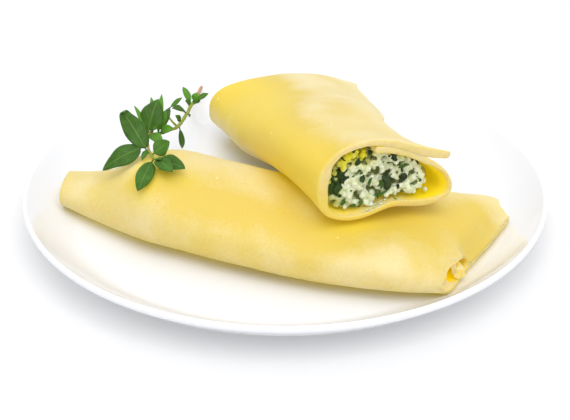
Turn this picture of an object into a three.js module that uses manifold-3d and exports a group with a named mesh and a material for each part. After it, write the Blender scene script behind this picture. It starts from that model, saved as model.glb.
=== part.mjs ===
// Two cannelloni on a dessert plate: a whole one, and a cut one that leans across it and shows its
// ricotta and spinach filling, with a thyme sprig laid over the whole one. Millimetres, +Z up.
// The origin is at the middle of the plate's foot, on the table.

import * as THREE from 'three';
import { mergeVertices } from 'three/addons/utils/BufferGeometryUtils.js';
import Module from 'manifold-3d';

const wasm = await Module();
wasm.setup();

// ---------------------------------------------------------------- sizes

const GAP = 0.3; // between pieces that rest on each other

const PLATE = {
  radius: 100, // of the lip, half the plate's diameter
  lipRadius: 98.6, // where the lip is highest
  lipTop: 17,
  wellRadius: 80, // of the flat middle
  wellTop: 6.5,
  thickness: 4,
  footRadius: 61,
  footWidth: 4,
  footHeight: 2.5,
  steepness: 1.7, // how the rise from the well to the lip steepens
  segments: 48,
};

const SHEET = 2.5; // thickness of the pasta

// A roll is a row of stations along its length. At each, x, y and z place the foot of its section and
// turn is the direction of the section's width, in degrees from +X. half is half the width, crown the
// height of the inner turn, and waist the height of the widest places. lean shifts the crown sideways.
// near and far, or left and right with their heels, are the fullness of the section's quarters: 2 is an
// ellipse, more is squarer and less is flatter. dent raises the middle of the underside.
const WHOLE_STATIONS = stations(
  'at, x, y, z, turn, half, crown, waist, lean, near, far',
  [0, -84.6, 5.8, 9.6, 80, 8, 7.5, 4.2, 0, 2.2, 2.2],
  [0.12, -66, -4.2, 8.25, 74, 13.6, 15.1, 7, 0, 2.2, 2.2],
  [0.2, -54, -8.8, 8.1, 72.5, 18.6, 24, 9, 0, 2.2, 2.2],
  [0.25, -46.5, -12, 8.1, 72, 21.4, 26.1, 10, 0, 2.2, 2.2],
  [0.36, -28, -17.4, 8.1, 72, 25.3, 22.8, 9.5, 0, 2.2, 2.1],
  [0.5, -3, -25.8, 8.1, 73, 28.5, 19.7, 8.5, 0, 2.5, 1.8],
  [0.7, 30, -36, 8.1, 76, 29.8, 17.9, 7.5, 0, 2.6, 1.75],
  [0.88, 56.9, -34.8, 8.35, 70, 31.9, 13.6, 6, -3, 2.3, 1.9],
  [0.95, 65.9, -36.3, 8.6, 65.6, 35.4, 9.1, 4, -8, 2.3, 1.7],
  [1, 71, -38.1, 9.1, 61.6, 30.6, 4.8, 2, -13, 2.4, 1],
);
const WHOLE_HEEL = 2.6; // fullness of the section's two lower quarters
const WHOLE_RINGS = 24; // up to the station before the flat end
const WHOLE_SIDES = 42;

// Torn out of the far corner of the flat end, in plan.
const NOTCH = [[81.6, -9.2], [85.6, -12.8], [93, -12.8], [93, 6], [81, 6]];

const CUT_STATIONS = stations(
  'at, x, y, z, turn, tilt, half, crown, waistLeft, waistRight, lean,'
    + 'left, right, heelLeft, heelRight, dent, flap, bend, leave',
  [0, 36.9, -43.6, 30.1, 20, 1.5, 24, 26.9, 11, 6.3, -8.5, 2.3, 1.8, 2.9, 3, 3.1, 16, 2, 307],
  [0.12, 30.8, -30, 29.4, 20.5, 1.2, 22.9, 24.5, 11, 6.7, -9.2, 2.3, 1.8, 2.85, 2.9, 1.5, 12, -26, 308.5],
  [0.25, 23.9, -15.5, 28.6, 21, 1, 23, 22.9, 11, 7, -9, 2.3, 1.8, 2.8, 2.8, 0.2, 9, -30, 311],
  [0.45, 16, 6, 23.5, 22, 0, 23.9, 23.6, 11.5, 7.5, -5, 2.3, 1.8, 2.6, 2.7, 0, 13.5, -34, 308],
  [0.68, 7.8, 31, 15.2, 23, 0, 25.2, 23.3, 11.5, 8, -2, 2.3, 1.9, 2.4, 2.6, 0, 26, -34, 301],
  [0.95, -4.7, 64, 8.4, 23, 0, 23.4, 20.7, 10.5, 7.5, 2.6, 2.7, 2.2, 2.1, 2.6, 0, 29, -31, 286],
  [1, -6.6, 69, 8.2, 20, 0, 23.3, 19.1, 9.5, 8, 0, 3.2, 2.2, 2.1, 2.6, 0, 32, -24, 286],
);
const DENT = { at: 1.5, width: 9.5 }; // of the raised middle of the cut roll's underside, near the cut
// The sheet starts inside, right of the crown, and goes once round clockwise. Late in that turn it rises
// by its own thickness, passes over its start and leaves the roll as a flap.
const WRAP = { start: 77, riseFrom: 0.58, riseTo: 0.86, clearance: 0.3 };
const CUT_RINGS = 20;
const CUT_STEPS = 38; // along the sheet, in each section

// In the whole roll's flat end: how far along it from the near corner, and how high over its lower edge.
const MOUTH = { along: 11.2, height: 3.4, halfWidth: 8.6, halfHeight: 2.4, depth: 13 };
// The curled edge in the mouth. turn is how far it is turned to the near side out of the end's own facing.
const CURL = {
  along: 11.8, height: 3, radius: 2.2, turns: 1.3, thickness: 0.9, length: 11, proud: 1.6, turn: -30,
};

// The filling's ends are set back from the sheet's, as shares of its length. Near the cut it stops short
// of the right side and leaves a pocket. reach is the share of the half width that it fills elsewhere.
const FILLING = { from: 0.012, to: 0.975, pocket: 0.72, pocketEnd: 0.13, reach: 0.92, rings: 11, sides: 26 };
const LUMPS = { front: 28, back: 12, smallest: 2.2, largest: 4, seed: 11 };

const LEAF = { thickness: 0.5, segments: 5, fold: 0.16, droop: 0.08, stalk: 0.14 };
const STEM_POINTS = [
  [-48, -14.7, 36.3], [-49.6, -11.7, 36.4], [-51.3, -6.1, 36.6], [-52, 0.5, 36.6], [-51.9, 8.3, 35.6],
  [-49.3, 12.5, 33.1], [-45.3, 22.9, 29.6], [-42.4, 34.1, 25.6], [-39.7, 52.7, 22.1], [-38.6, 62.8, 20.6],
  [-37.3, 69.1, 19.6], [-35.2, 88.2, 17.1],
];
const STEM = { radius: 0.75, steps: 22, sides: 6 };
const SHOOT_POINTS = [[-42.6, 33.6, 25.6], [-44.9, 33.3, 28.6], [-46, 33.7, 30.6], [-45.8, 37.7, 31.9]];
const SHOOT = { radius: 0.5, steps: 6, sides: 5 };
// Each leaf: where it leaves the stem, where its tip is, and its width.
const LEAVES = [
  [[-49.4, -11.3, 36.4], [-42.9, -10.2, 41.6], 7],
  [[-48.3, -14.4, 36.2], [-36.6, -24, 37.4], 6.6],
  [[-48.2, -14.4, 36.2], [-41.1, -27.7, 38.2], 5.6],
  [[-48.8, -14.8, 36.4], [-53.8, -31.6, 32.1], 6.6],
  [[-48, -14.8, 36.4], [-45.6, -21.1, 39.6], 2],
  [[-51.4, -6.5, 36.6], [-68.3, -10.7, 29.6], 7.6],
  [[-51.4, -6.2, 36.9], [-62.5, 9.3, 45.3], 7.2],
  [[-51.2, -6.1, 36.4], [-53.2, -14.8, 36], 2.4],
  [[-51.9, 8.3, 36], [-48.2, 17.2, 45.6], 7.8],
  [[-52, 6.7, 36.2], [-56.9, 7.5, 41.6], 3.4],
  [[-51.6, 9.5, 35.6], [-48.7, 7.4, 38.6], 2.8],
  [[-51.8, 6.5, 36.1], [-46.1, -3.7, 37.4], 4.4],
  [[-52.1, 8.3, 36], [-57.7, 14.9, 44], 2],
  [[-52, 8.6, 35.9], [-53.9, 14, 43.6], 2.2],
  [[-48.8, 13.6, 32.9], [-52.2, 28.3, 41.1], 2.6],
  [[-48.6, 14.2, 32.6], [-48.2, 31.8, 40.6], 2.4],
  [[-48.9, 13.4, 33], [-46.2, 20.3, 39.6], 4],
  [[-48, 15.8, 32.1], [-45, 27.6, 37.1], 3.2],
  [[-48.6, 14.2, 32.9], [-43.2, 12.9, 35.6], 4.4],
  [[-45.8, 37.6, 31.6], [-40.9, 41.1, 34.6], 2],
  [[-39.7, 52.9, 22.1], [-45, 46.5, 27.6], 3.6],
  [[-41.4, 40.4, 24.4], [-43.6, 39.7, 27.6], 2.6],
  [[-42, 35.4, 25.2], [-41.5, 42.1, 11.7], 2.4],
  [[-38.4, 64.4, 20.4], [-42.1, 70, 25.6], 2.8],
  [[-37.8, 67, 20], [-36.2, 68.8, 23.6], 3],
  [[-37.3, 68.8, 19.6], [-31.8, 72.9, 21.1], 2.4],
  [[-38.5, 63.4, 20.6], [-40.8, 62.5, 23.1], 2.8],
  [[-38.5, 63.4, 20.6], [-35.3, 71.3, 18.6], 2.6],
  [[-39.5, 54.1, 21.8], [-39.2, 57, 18.1], 1.8],
];

const COLOURS = { plate: '#f6f6f4', pasta: '#f0d879', filling: '#dfe3bb', leaf: '#3f7a2c' };

// ---------------------------------------------------------------- curves and solids

const radians = THREE.MathUtils.degToRad;
const smooth = THREE.MathUtils.smoothstep;

// A roll's stations from the names of their sizes and a row of numbers for each.
function stations(names, ...rows) {
  const keys = names.split(',').map((name) => name.trim());
  return rows.map((row) => Object.fromEntries(keys.map((key, i) => [key, row[i]])));
}

// The sizes of a roll at a place from 0 to 1 along it, on smooth curves through its stations.
function sizesAt(row, place) {
  const last = row.length - 2;
  let i = row.findIndex((station) => station.at > place) - 1;
  i = i < 0 ? last : Math.min(i, last);
  const rate = (key, k) => (row[k + 1][key] - row[k][key]) / (row[k + 1].at - row[k].at);
  const slope = (key, k) => {
    if (k === 0) return 1.5 * rate(key, 0) - 0.5 * slope(key, 1);
    if (k === last + 1) return 1.5 * rate(key, last) - 0.5 * slope(key, last);
    const before = row[k].at - row[k - 1].at;
    const after = row[k + 1].at - row[k].at;
    return (rate(key, k - 1) * after + rate(key, k) * before) / (before + after);
  };
  const span = row[i + 1].at - row[i].at;
  const t = (place - row[i].at) / span;
  const sizes = {};
  for (const key of Object.keys(row[0])) {
    const start = (2 * t ** 3 - 3 * t ** 2 + 1) * row[i][key];
    const startSlope = (t ** 3 - 2 * t ** 2 + t) * span * slope(key, i);
    const end = (3 * t ** 2 - 2 * t ** 3) * row[i + 1][key];
    const endSlope = (t ** 3 - t ** 2) * span * slope(key, i + 1);
    sizes[key] = start + startSlope + end + endSlope;
  }
  return sizes;
}

// A point of a section's closed base curve, at an angle from its right side.
function sectionPoint(angle, s) {
  const across = Math.cos(angle);
  const up = Math.sin(angle);
  const upper = up >= 0;
  const fullness = across >= 0 ? (upper ? s.right : s.heelRight) : (upper ? s.left : s.heelLeft);
  const waist = s.waistLeft + (s.waistRight - s.waistLeft) * (0.5 + 0.5 * across);
  const rise = Math.abs(up) ** (2 / fullness);
  const x = Math.sign(across) * Math.abs(across) ** (2 / fullness) * s.half + s.lean * Math.max(up, 0) ** 1.5;
  const dent = upper ? 0 : s.dent * Math.exp(-(((x - DENT.at) / DENT.width) ** 2)) * rise;
  return new THREE.Vector2(x, waist + (upper ? (s.crown - waist) * rise : -waist * rise) + dent);
}

// Normals on the right hand of a row of points.
function rightNormals(points) {
  return points.map((point, i) => {
    const before = points[Math.max(i - 1, 0)];
    const after = points[Math.min(i + 1, points.length - 1)];
    return new THREE.Vector2(after.y - before.y, before.x - after.x).normalize();
  });
}

// The same row at equal steps.
function evenSteps(points, count) {
  return new THREE.SplineCurve(points).getSpacedPoints(count - 1);
}

// A closed outline round the pasta's middle. distanceAt gives how far outward it lies at an angle in degrees.
function ringOutline(s, distanceAt, count) {
  const dense = 240;
  const points = Array.from({ length: dense }, (_, i) => sectionPoint((2 * Math.PI * i) / dense, s));
  const outline = points.map((point, i) => {
    const before = points[(i + dense - 1) % dense];
    const after = points[(i + 1) % dense];
    const out = new THREE.Vector2(after.y - before.y, before.x - after.x).normalize();
    return point.clone().addScaledVector(out, distanceAt((360 * i) / dense));
  });
  return evenSteps([...outline, outline[0]], count + 1).slice(0, count);
}

// How far the sheet has risen onto itself, after a share of a turn.
function riseAfter(turned) {
  return (SHEET + WRAP.clearance) * smooth(turned, WRAP.riseFrom, WRAP.riseTo);
}

// The middle of the rolled sheet in one section, from its inner edge to the edge of the flap.
function sheetMiddle(s, count) {
  const dense = 240;
  const step = (WRAP.start + s.leave) / (dense - 1);
  const degrees = Array.from({ length: dense }, (_, i) => WRAP.start - step * i);
  const base = degrees.map((angle) => sectionPoint(radians(angle), s));
  const inward = rightNormals(base);
  const row = base.map((point, i) => (
    point.clone().addScaledVector(inward[i], -riseAfter((WRAP.start - degrees[i]) / 360))
  ));
  const steps = 24;
  const end = row[row.length - 1].clone();
  const before = row[row.length - 6];
  const heading = Math.atan2(end.y - before.y, end.x - before.x);
  for (let i = 1; i <= steps; i += 1) {
    const direction = heading + radians(s.bend) * (i / steps);
    end.x += (Math.cos(direction) * s.flap) / steps;
    end.y += (Math.sin(direction) * s.flap) / steps;
    row.push(end.clone());
  }
  return evenSteps(row, count);
}

// The closed outline of the sheet's thickness round its middle.
function sheetOutline(s, count) {
  const middle = sheetMiddle(s, count);
  const side = rightNormals(middle);
  const one = middle.map((point, i) => point.clone().addScaledVector(side[i], SHEET / 2));
  const other = middle.map((point, i) => point.clone().addScaledVector(side[i], -SHEET / 2));
  return [...one, ...other.reverse()];
}

// A flat outline, stood up at a station's place in the model.
function stand(outline, s) {
  const turn = radians(s.turn);
  const tilt = radians(s.tilt);
  return outline.map((point) => {
    const across = point.x * Math.cos(tilt) - point.y * Math.sin(tilt);
    const up = point.x * Math.sin(tilt) + point.y * Math.cos(tilt);
    return new THREE.Vector3(s.x + across * Math.cos(turn), s.y + across * Math.sin(turn), s.z + up);
  });
}

// A closed mesh from points and triangles, turned so that its faces point out.
function closedMesh(points, triangles) {
  let volume = 0;
  for (const [a, b, c] of triangles) volume += points[a].dot(points[b].clone().cross(points[c]));
  const outward = volume > 0 ? triangles : triangles.map(([a, b, c]) => [a, c, b]);
  const geometry = new THREE.BufferGeometry().setFromPoints(points);
  geometry.setIndex(outward.flat());
  geometry.computeVertexNormals();
  return geometry;
}

// A skin over rings of equal length, closed at both ends by the triangles of the flat end outline.
function skin(rings, endOutline) {
  const count = rings[0].length;
  const last = (rings.length - 1) * count;
  const triangles = [];
  for (let start = 0; start < last; start += count) {
    for (let j = 0; j < count; j += 1) {
      const k = (j + 1) % count;
      triangles.push([start + j, start + k, start + count + k]);
      triangles.push([start + j, start + count + k, start + count + j]);
    }
  }
  for (const [a, b, c] of THREE.ShapeUtils.triangulateShape(endOutline, [])) {
    triangles.push([a, c, b], [last + a, last + b, last + c]);
  }
  return closedMesh(rings.flat(), triangles);
}

function toSolid(geometry) {
  const bare = geometry.clone();
  bare.deleteAttribute('normal');
  bare.deleteAttribute('uv');
  const merged = mergeVertices(bare, 1e-4);
  return new wasm.Manifold(new wasm.Mesh({
    numProp: 3,
    vertProperties: Float32Array.from(merged.attributes.position.array),
    triVerts: Uint32Array.from(merged.index.array),
  }));
}

function toGeometry(solid) {
  const mesh = solid.getMesh();
  const geometry = new THREE.BufferGeometry();
  geometry.setAttribute('position', new THREE.BufferAttribute(Float32Array.from(mesh.vertProperties), 3));
  geometry.setIndex(Array.from(mesh.triVerts));
  geometry.computeVertexNormals();
  return geometry;
}

// A repeatable row of numbers from 0 to 1.
function numbersFrom(seed) {
  let state = seed;
  return () => {
    state = (state * 1664525 + 1013904223) % 4294967296;
    return state / 4294967296;
  };
}

// ---------------------------------------------------------------- the plate

// Height of the plate's upper face at a distance from its middle.
function plateTop(radius) {
  const share = Math.max(radius - PLATE.wellRadius, 0) / (PLATE.lipRadius - PLATE.wellRadius);
  return PLATE.wellTop + (PLATE.lipTop - PLATE.wellTop) * share ** PLATE.steepness;
}

function plateGeometry() {
  const { radius, lipRadius, lipTop, wellRadius, thickness, footRadius, footWidth, footHeight } = PLATE;
  const under = (r) => Math.max(plateTop(r + 1.5) - thickness, footHeight);
  const rise = [0, 0.25, 0.45, 0.62, 0.78, 0.9].map((share) => wellRadius + (lipRadius - wellRadius) * share);
  const profile = [
    [0, PLATE.wellTop],
    [wellRadius * 0.6, PLATE.wellTop],
    ...rise.map((r) => [r, plateTop(r)]),
    [lipRadius - 0.4, lipTop - 0.1],
    [lipRadius + 0.6, lipTop],
    [radius, lipTop - 1],
    [radius - 0.2, lipTop - 2.6],
    ...rise.slice(2).reverse().map((r) => [r, under(r)]),
    [wellRadius - 2, footHeight + 0.1],
    [footRadius + footWidth / 2 + 1, footHeight],
    [footRadius + footWidth / 2, 0.4],
    [footRadius + footWidth / 4, 0],
    [footRadius - footWidth / 4, 0],
    [footRadius - footWidth / 2, 0.4],
    [footRadius - footWidth / 2 - 1, footHeight],
    [0, footHeight],
  ];
  const lathe = new THREE.LatheGeometry(profile.map(([r, z]) => new THREE.Vector2(r, z)), PLATE.segments);
  lathe.rotateX(Math.PI / 2);
  return toGeometry(toSolid(orientedOut(lathe)));
}

// The same geometry with its merged faces pointing out.
function orientedOut(geometry) {
  const bare = geometry.clone();
  bare.deleteAttribute('normal');
  bare.deleteAttribute('uv');
  const merged = mergeVertices(bare, 1e-4);
  const at = merged.attributes.position;
  const points = Array.from({ length: at.count }, (_, i) => new THREE.Vector3().fromBufferAttribute(at, i));
  const corners = Array.from(merged.index.array);
  const triangles = [];
  for (let i = 0; i < corners.length; i += 3) {
    const [a, b, c] = corners.slice(i, i + 3);
    if (a !== b && b !== c && a !== c) triangles.push([a, b, c]);
  }
  return closedMesh(points, triangles);
}

// ---------------------------------------------------------------- the whole roll

function wholeSizes(place) {
  const s = sizesAt(WHOLE_STATIONS, place);
  return {
    ...s, tilt: 0, waistLeft: s.waist, waistRight: s.waist, left: s.near, right: s.far,
    heelLeft: WHOLE_HEEL, heelRight: WHOLE_HEEL, dent: 0,
  };
}

// A frame at the whole roll's flat end: x runs along the end, y up and z out of it.
function endFrame() {
  const s = wholeSizes(1);
  const along = new THREE.Vector3(Math.cos(radians(s.turn)), Math.sin(radians(s.turn)), 0);
  const up = new THREE.Vector3(0, 0, 1);
  const out = along.clone().cross(up);
  const corner = new THREE.Vector3(s.x, s.y, s.z - SHEET / 2).addScaledVector(along, -s.half - SHEET / 2);
  return new THREE.Matrix4().makeBasis(along, up, out).setPosition(corner);
}

function wholeRollGeometry() {
  const corner = WHOLE_STATIONS[WHOLE_STATIONS.length - 2].at;
  const places = Array.from({ length: WHOLE_RINGS }, (_, i) => (corner * i) / (WHOLE_RINGS - 1));
  places.push(0.965, 0.985, 1);
  const outline = (place) => ringOutline(wholeSizes(place), () => SHEET / 2, WHOLE_SIDES);
  const body = toSolid(skin(places.map((place) => stand(outline(place), wholeSizes(place))), outline(0)));

  // the open near corner of the flat end, with the sheet's inner edge curled up in it
  const mouth = new THREE.Shape();
  mouth.absellipse(MOUTH.along, MOUTH.height, MOUTH.halfWidth, MOUTH.halfHeight, 0, 2 * Math.PI);
  const through = { depth: MOUTH.depth + 10, bevelEnabled: false, curveSegments: 10 };
  const pocket = new THREE.ExtrudeGeometry(mouth, through);
  pocket.translate(0, 0, -MOUTH.depth);
  pocket.applyMatrix4(endFrame());
  const curl = new THREE.ExtrudeGeometry(curlShape(), { depth: CURL.length, bevelEnabled: false });
  curl.translate(0, 0, CURL.proud - CURL.length);
  curl.rotateY(radians(CURL.turn));
  curl.translate(CURL.along, CURL.height, 0);
  curl.applyMatrix4(endFrame());
  const notch = new THREE.Shape(NOTCH.map(([x, y]) => new THREE.Vector2(x, y)));
  const tear = new THREE.ExtrudeGeometry(notch, { depth: 30, bevelEnabled: false });
  return toGeometry(body.subtract(toSolid(tear)).subtract(toSolid(pocket)).add(toSolid(curl)));
}

// The section of the curled edge: a strip wound inward, whose outer end meets the roof of the mouth.
function curlShape() {
  const steps = 18;
  const middle = Array.from({ length: steps + 1 }, (_, i) => {
    const share = i / steps;
    const angle = radians(100) + share * CURL.turns * 2 * Math.PI;
    const radius = CURL.radius * (1 - 0.62 * share);
    return new THREE.Vector2(radius * Math.cos(angle), radius * Math.sin(angle));
  });
  middle.unshift(new THREE.Vector2(2.4, CURL.radius + 0.3));
  const side = rightNormals(middle);
  const half = CURL.thickness / 2;
  const outer = middle.map((point, i) => point.clone().addScaledVector(side[i], half));
  const inner = middle.map((point, i) => point.clone().addScaledVector(side[i], -half));
  return new THREE.Shape([...outer, ...inner.reverse()]);
}

// ---------------------------------------------------------------- the cut roll

const cutSizes = (place) => sizesAt(CUT_STATIONS, place);

function wrapperGeometry() {
  const places = Array.from({ length: CUT_RINGS }, (_, i) => i / (CUT_RINGS - 1));
  const rings = places.map((place) => stand(sheetOutline(cutSizes(place), CUT_STEPS), cutSizes(place)));
  return skin(rings, sheetOutline(cutSizes(0), CUT_STEPS));
}

// The room inside the roll's first turn, clear of the sheet. Left of the sheet's start it reaches up to
// where the sheet has risen.
function roomOutline(place, clearance) {
  const s = cutSizes(place);
  const limit = s.half * FILLING.reach - clearance;
  const distanceAt = (angle) => {
    const turned = (WRAP.start + 360 - angle) / 360 - 0.03;
    const step = smooth(angle, WRAP.start + 6, WRAP.start + 16);
    return step * riseAfter(turned) - SHEET / 2 - clearance;
  };
  const outline = ringOutline(s, distanceAt, FILLING.sides);
  return outline.map((point) => new THREE.Vector2(Math.min(point.x, limit), point.y));
}

function fillingOutline(place) {
  const reach = THREE.MathUtils.lerp(FILLING.pocket, 1, smooth(place, 0, FILLING.pocketEnd));
  const limit = cutSizes(place).half * reach;
  return roomOutline(place, 2.5 * GAP).map((point) => new THREE.Vector2(Math.min(point.x, limit), point.y));
}

function fillingGeometry() {
  const spread = (from, to, count) => (
    Array.from({ length: count }, (_, i) => from + ((to - from) * i) / (count - 1))
  );
  const solidOver = (outline, places) => toSolid(skin(
    places.map((place) => stand(outline(place), cutSizes(place))), outline(places[0]),
  ));
  const core = solidOver(fillingOutline, spread(FILLING.from, FILLING.to, FILLING.rings));
  const room = solidOver((place) => roomOutline(place, 1.8 * GAP), spread(0, 1, FILLING.rings));
  const curds = lumps(FILLING.from, LUMPS.front).add(lumps(FILLING.to, LUMPS.back));
  return toGeometry(core.add(curds.intersect(room)));
}

// Curds of cheese standing out of one end face of the filling.
function lumps(place, count) {
  const draw = numbersFrom(LUMPS.seed + count);
  const s = cutSizes(place);
  const outline = fillingOutline(place);
  const box = new THREE.Box2().setFromPoints(outline);
  const curds = [];
  while (curds.length < count) {
    const spot = new THREE.Vector2(
      THREE.MathUtils.lerp(box.min.x, box.max.x, draw()), THREE.MathUtils.lerp(box.min.y, box.max.y, draw()),
    );
    const radius = THREE.MathUtils.lerp(LUMPS.smallest, LUMPS.largest, draw() ** 2);
    const turns = [draw() * Math.PI, draw() * Math.PI];
    if (!inside(spot, outline)) continue;
    const curd = new THREE.IcosahedronGeometry(radius, 0);
    curd.rotateX(turns[0]);
    curd.rotateZ(turns[1]);
    const [centre] = stand([spot], s);
    curd.translate(centre.x, centre.y, centre.z);
    curds.push(toSolid(curd));
  }
  return wasm.Manifold.union(curds);
}

function inside(spot, outline) {
  let within = false;
  outline.forEach((a, i) => {
    const b = outline[(i + 1) % outline.length];
    const crosses = (a.y > spot.y) !== (b.y > spot.y);
    if (crosses && spot.x < ((b.x - a.x) * (spot.y - a.y)) / (b.y - a.y) + a.x) within = !within;
  });
  return within;
}

// ---------------------------------------------------------------- the thyme sprig

function stalk(points, { radius, steps, sides }) {
  const path = new THREE.CatmullRomCurve3(points.map((point) => new THREE.Vector3(...point)));
  const corners = Array.from({ length: sides }, (_, i) => {
    const angle = (2 * Math.PI * i) / sides;
    return new THREE.Vector2(radius * Math.cos(angle), radius * Math.sin(angle));
  });
  const sweep = { steps, extrudePath: path, bevelEnabled: false };
  return new THREE.ExtrudeGeometry(new THREE.Shape(corners), sweep);
}

// A thin leaf, folded a little along its midrib and bent over its length.
function leaf(base, tip, width) {
  const start = new THREE.Vector3(...base);
  const axis = new THREE.Vector3(...tip).sub(start);
  const length = axis.length();
  axis.normalize();
  const facing = new THREE.Vector3(0, -0.6, 1);
  const across = axis.clone().cross(facing).normalize();
  const up = across.clone().cross(axis).normalize();
  const points = [];
  for (const face of [LEAF.thickness / 2, -LEAF.thickness / 2]) {
    for (let i = 0; i <= LEAF.segments; i += 1) {
      const t = i / LEAF.segments;
      const blade = Math.max((t - LEAF.stalk) / (1 - LEAF.stalk), 0);
      const half = Math.max((width / 2) * Math.sin(Math.PI * blade ** 0.85) ** 0.75 || 0, LEAF.thickness / 2);
      const arch = LEAF.droop * length * Math.sin(Math.PI * t) + 0.25 * Math.sin(7 * t + width);
      for (const side of [-1, 0, 1]) {
        const point = start.clone().addScaledVector(axis, t * length);
        point.addScaledVector(across, side * half);
        point.addScaledVector(up, arch + Math.abs(side) * half * LEAF.fold + face);
        points.push(point);
      }
    }
  }
  const rows = LEAF.segments + 1;
  const at = (face, i, j) => face * rows * 3 + i * 3 + j;
  const triangles = [];
  const quad = (a, b, c, d) => triangles.push([a, b, c], [a, c, d]);
  for (let i = 0; i < LEAF.segments; i += 1) {
    for (const j of [0, 1]) {
      quad(at(0, i, j), at(0, i, j + 1), at(0, i + 1, j + 1), at(0, i + 1, j));
      triangles.push([at(1, i, j), at(1, i + 1, j + 1), at(1, i, j + 1)]);
      triangles.push([at(1, i, j), at(1, i + 1, j), at(1, i + 1, j + 1)]);
    }
    quad(at(0, i, 0), at(0, i + 1, 0), at(1, i + 1, 0), at(1, i, 0));
    quad(at(0, i, 2), at(1, i, 2), at(1, i + 1, 2), at(0, i + 1, 2));
  }
  for (const j of [0, 1]) {
    quad(at(0, 0, j), at(1, 0, j), at(1, 0, j + 1), at(0, 0, j + 1));
    quad(at(0, rows - 1, j), at(0, rows - 1, j + 1), at(1, rows - 1, j + 1), at(1, rows - 1, j));
  }
  return closedMesh(points, triangles);
}

function sprigGeometry() {
  const pieces = [stalk(STEM_POINTS, STEM), stalk(SHOOT_POINTS, SHOOT)];
  for (const [base, tip, width] of LEAVES) pieces.push(leaf(base, tip, width));
  return toGeometry(wasm.Manifold.union(pieces.map(toSolid)));
}

// ---------------------------------------------------------------- the dish

function addPiece(group, name, geometry, colour, roughness) {
  const material = new THREE.MeshStandardMaterial({ color: colour, roughness, metalness: 0 });
  const mesh = new THREE.Mesh(geometry, material);
  mesh.name = name;
  group.add(mesh);
}

const dish = new THREE.Group();
addPiece(dish, 'plate', plateGeometry(), COLOURS.plate, 0.12);
addPiece(dish, 'whole_roll', wholeRollGeometry(), COLOURS.pasta, 0.5);
addPiece(dish, 'cut_roll_sheet', wrapperGeometry(), COLOURS.pasta, 0.5);
addPiece(dish, 'filling', fillingGeometry(), COLOURS.filling, 0.6);
addPiece(dish, 'thyme_sprig', sprigGeometry(), COLOURS.leaf, 0.5);

export default dish;
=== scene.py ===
"""Two cannelloni on a white dessert plate: a whole one, a cut one leaning across it, and a thyme sprig."""

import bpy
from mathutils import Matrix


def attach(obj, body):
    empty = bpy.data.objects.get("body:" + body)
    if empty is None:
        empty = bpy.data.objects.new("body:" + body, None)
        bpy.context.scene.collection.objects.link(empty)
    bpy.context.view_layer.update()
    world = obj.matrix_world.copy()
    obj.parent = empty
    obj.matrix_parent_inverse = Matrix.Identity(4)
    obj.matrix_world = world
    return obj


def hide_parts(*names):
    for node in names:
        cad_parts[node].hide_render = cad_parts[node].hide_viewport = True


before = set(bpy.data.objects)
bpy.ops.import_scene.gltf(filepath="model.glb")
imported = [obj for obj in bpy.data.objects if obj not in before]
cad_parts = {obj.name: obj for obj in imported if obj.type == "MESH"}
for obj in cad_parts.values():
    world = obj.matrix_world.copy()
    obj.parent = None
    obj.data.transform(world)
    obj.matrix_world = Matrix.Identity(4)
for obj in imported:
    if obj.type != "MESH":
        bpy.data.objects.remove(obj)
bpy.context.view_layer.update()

import math
import random

import bmesh
import bpy
import numpy as np
from bpy.props import FloatProperty, FloatVectorProperty, IntProperty, PointerProperty
from mathutils import Vector, noise
from mathutils.kdtree import KDTree

bl_info = {
    "name": "Cannelloni on a plate",
    "version": (1, 0, 0),
    "blender": (4, 5, 0),
    "location": "3D View > Sidebar > Cannelloni",
    "description": "Makes a plate of cannelloni with ricotta and spinach",
    "category": "Add Mesh",
}

MM = 0.001

# ---------------------------------------------------------------- the rolls' sizes, in millimetres

SHEET = 2.5  # thickness of the pasta

# A roll is a row of stations along its length. x, y and z place the foot of the section, turn is the
# direction of its width in degrees from +X, half is half the width, crown the height and waist the height
# of the widest place. lean shifts the crown, left and right are the fullness of the section's upper
# quarters, and heel_left and heel_right that of its lower ones.
WHOLE_KEYS = ("at", "x", "y", "z", "turn", "half", "crown", "waist", "lean", "left", "right")
WHOLE_STATIONS = (
    (0, -84.6, 5.8, 9.6, 80, 8, 7.5, 4.2, 0, 2.2, 2.2),
    (0.12, -66, -4.2, 8.25, 74, 13.6, 15.1, 7, 0, 2.2, 2.2),
    (0.2, -54, -8.8, 8.1, 72.5, 18.6, 24, 9, 0, 2.2, 2.2),
    (0.25, -46.5, -12, 8.1, 72, 21.4, 26.1, 10, 0, 2.2, 2.2),
    (0.36, -28, -17.4, 8.1, 72, 25.3, 22.8, 9.5, 0, 2.2, 2.1),
    (0.5, -3, -25.8, 8.1, 73, 28.5, 19.7, 8.5, 0, 2.5, 1.8),
    (0.7, 30, -36, 8.1, 76, 29.8, 17.9, 7.5, 0, 2.6, 1.75),
    (0.88, 56.3, -36.5, 8.35, 70, 33.6, 13.6, 6, -3, 2.3, 1.9),
    (0.95, 66.4, -35.3, 8.6, 65.6, 34.3, 9.1, 4, -8, 2.3, 1.7),
    (1, 71, -38.1, 9.1, 61.6, 30.6, 4.8, 2, -13, 2.4, 1),
)
WHOLE_HEEL = 2.6
NOTCH = ((81.6, -9.2), (85.6, -12.8), (93, -12.8), (93, 6), (81, 6))  # torn out of the far corner, in plan

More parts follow.
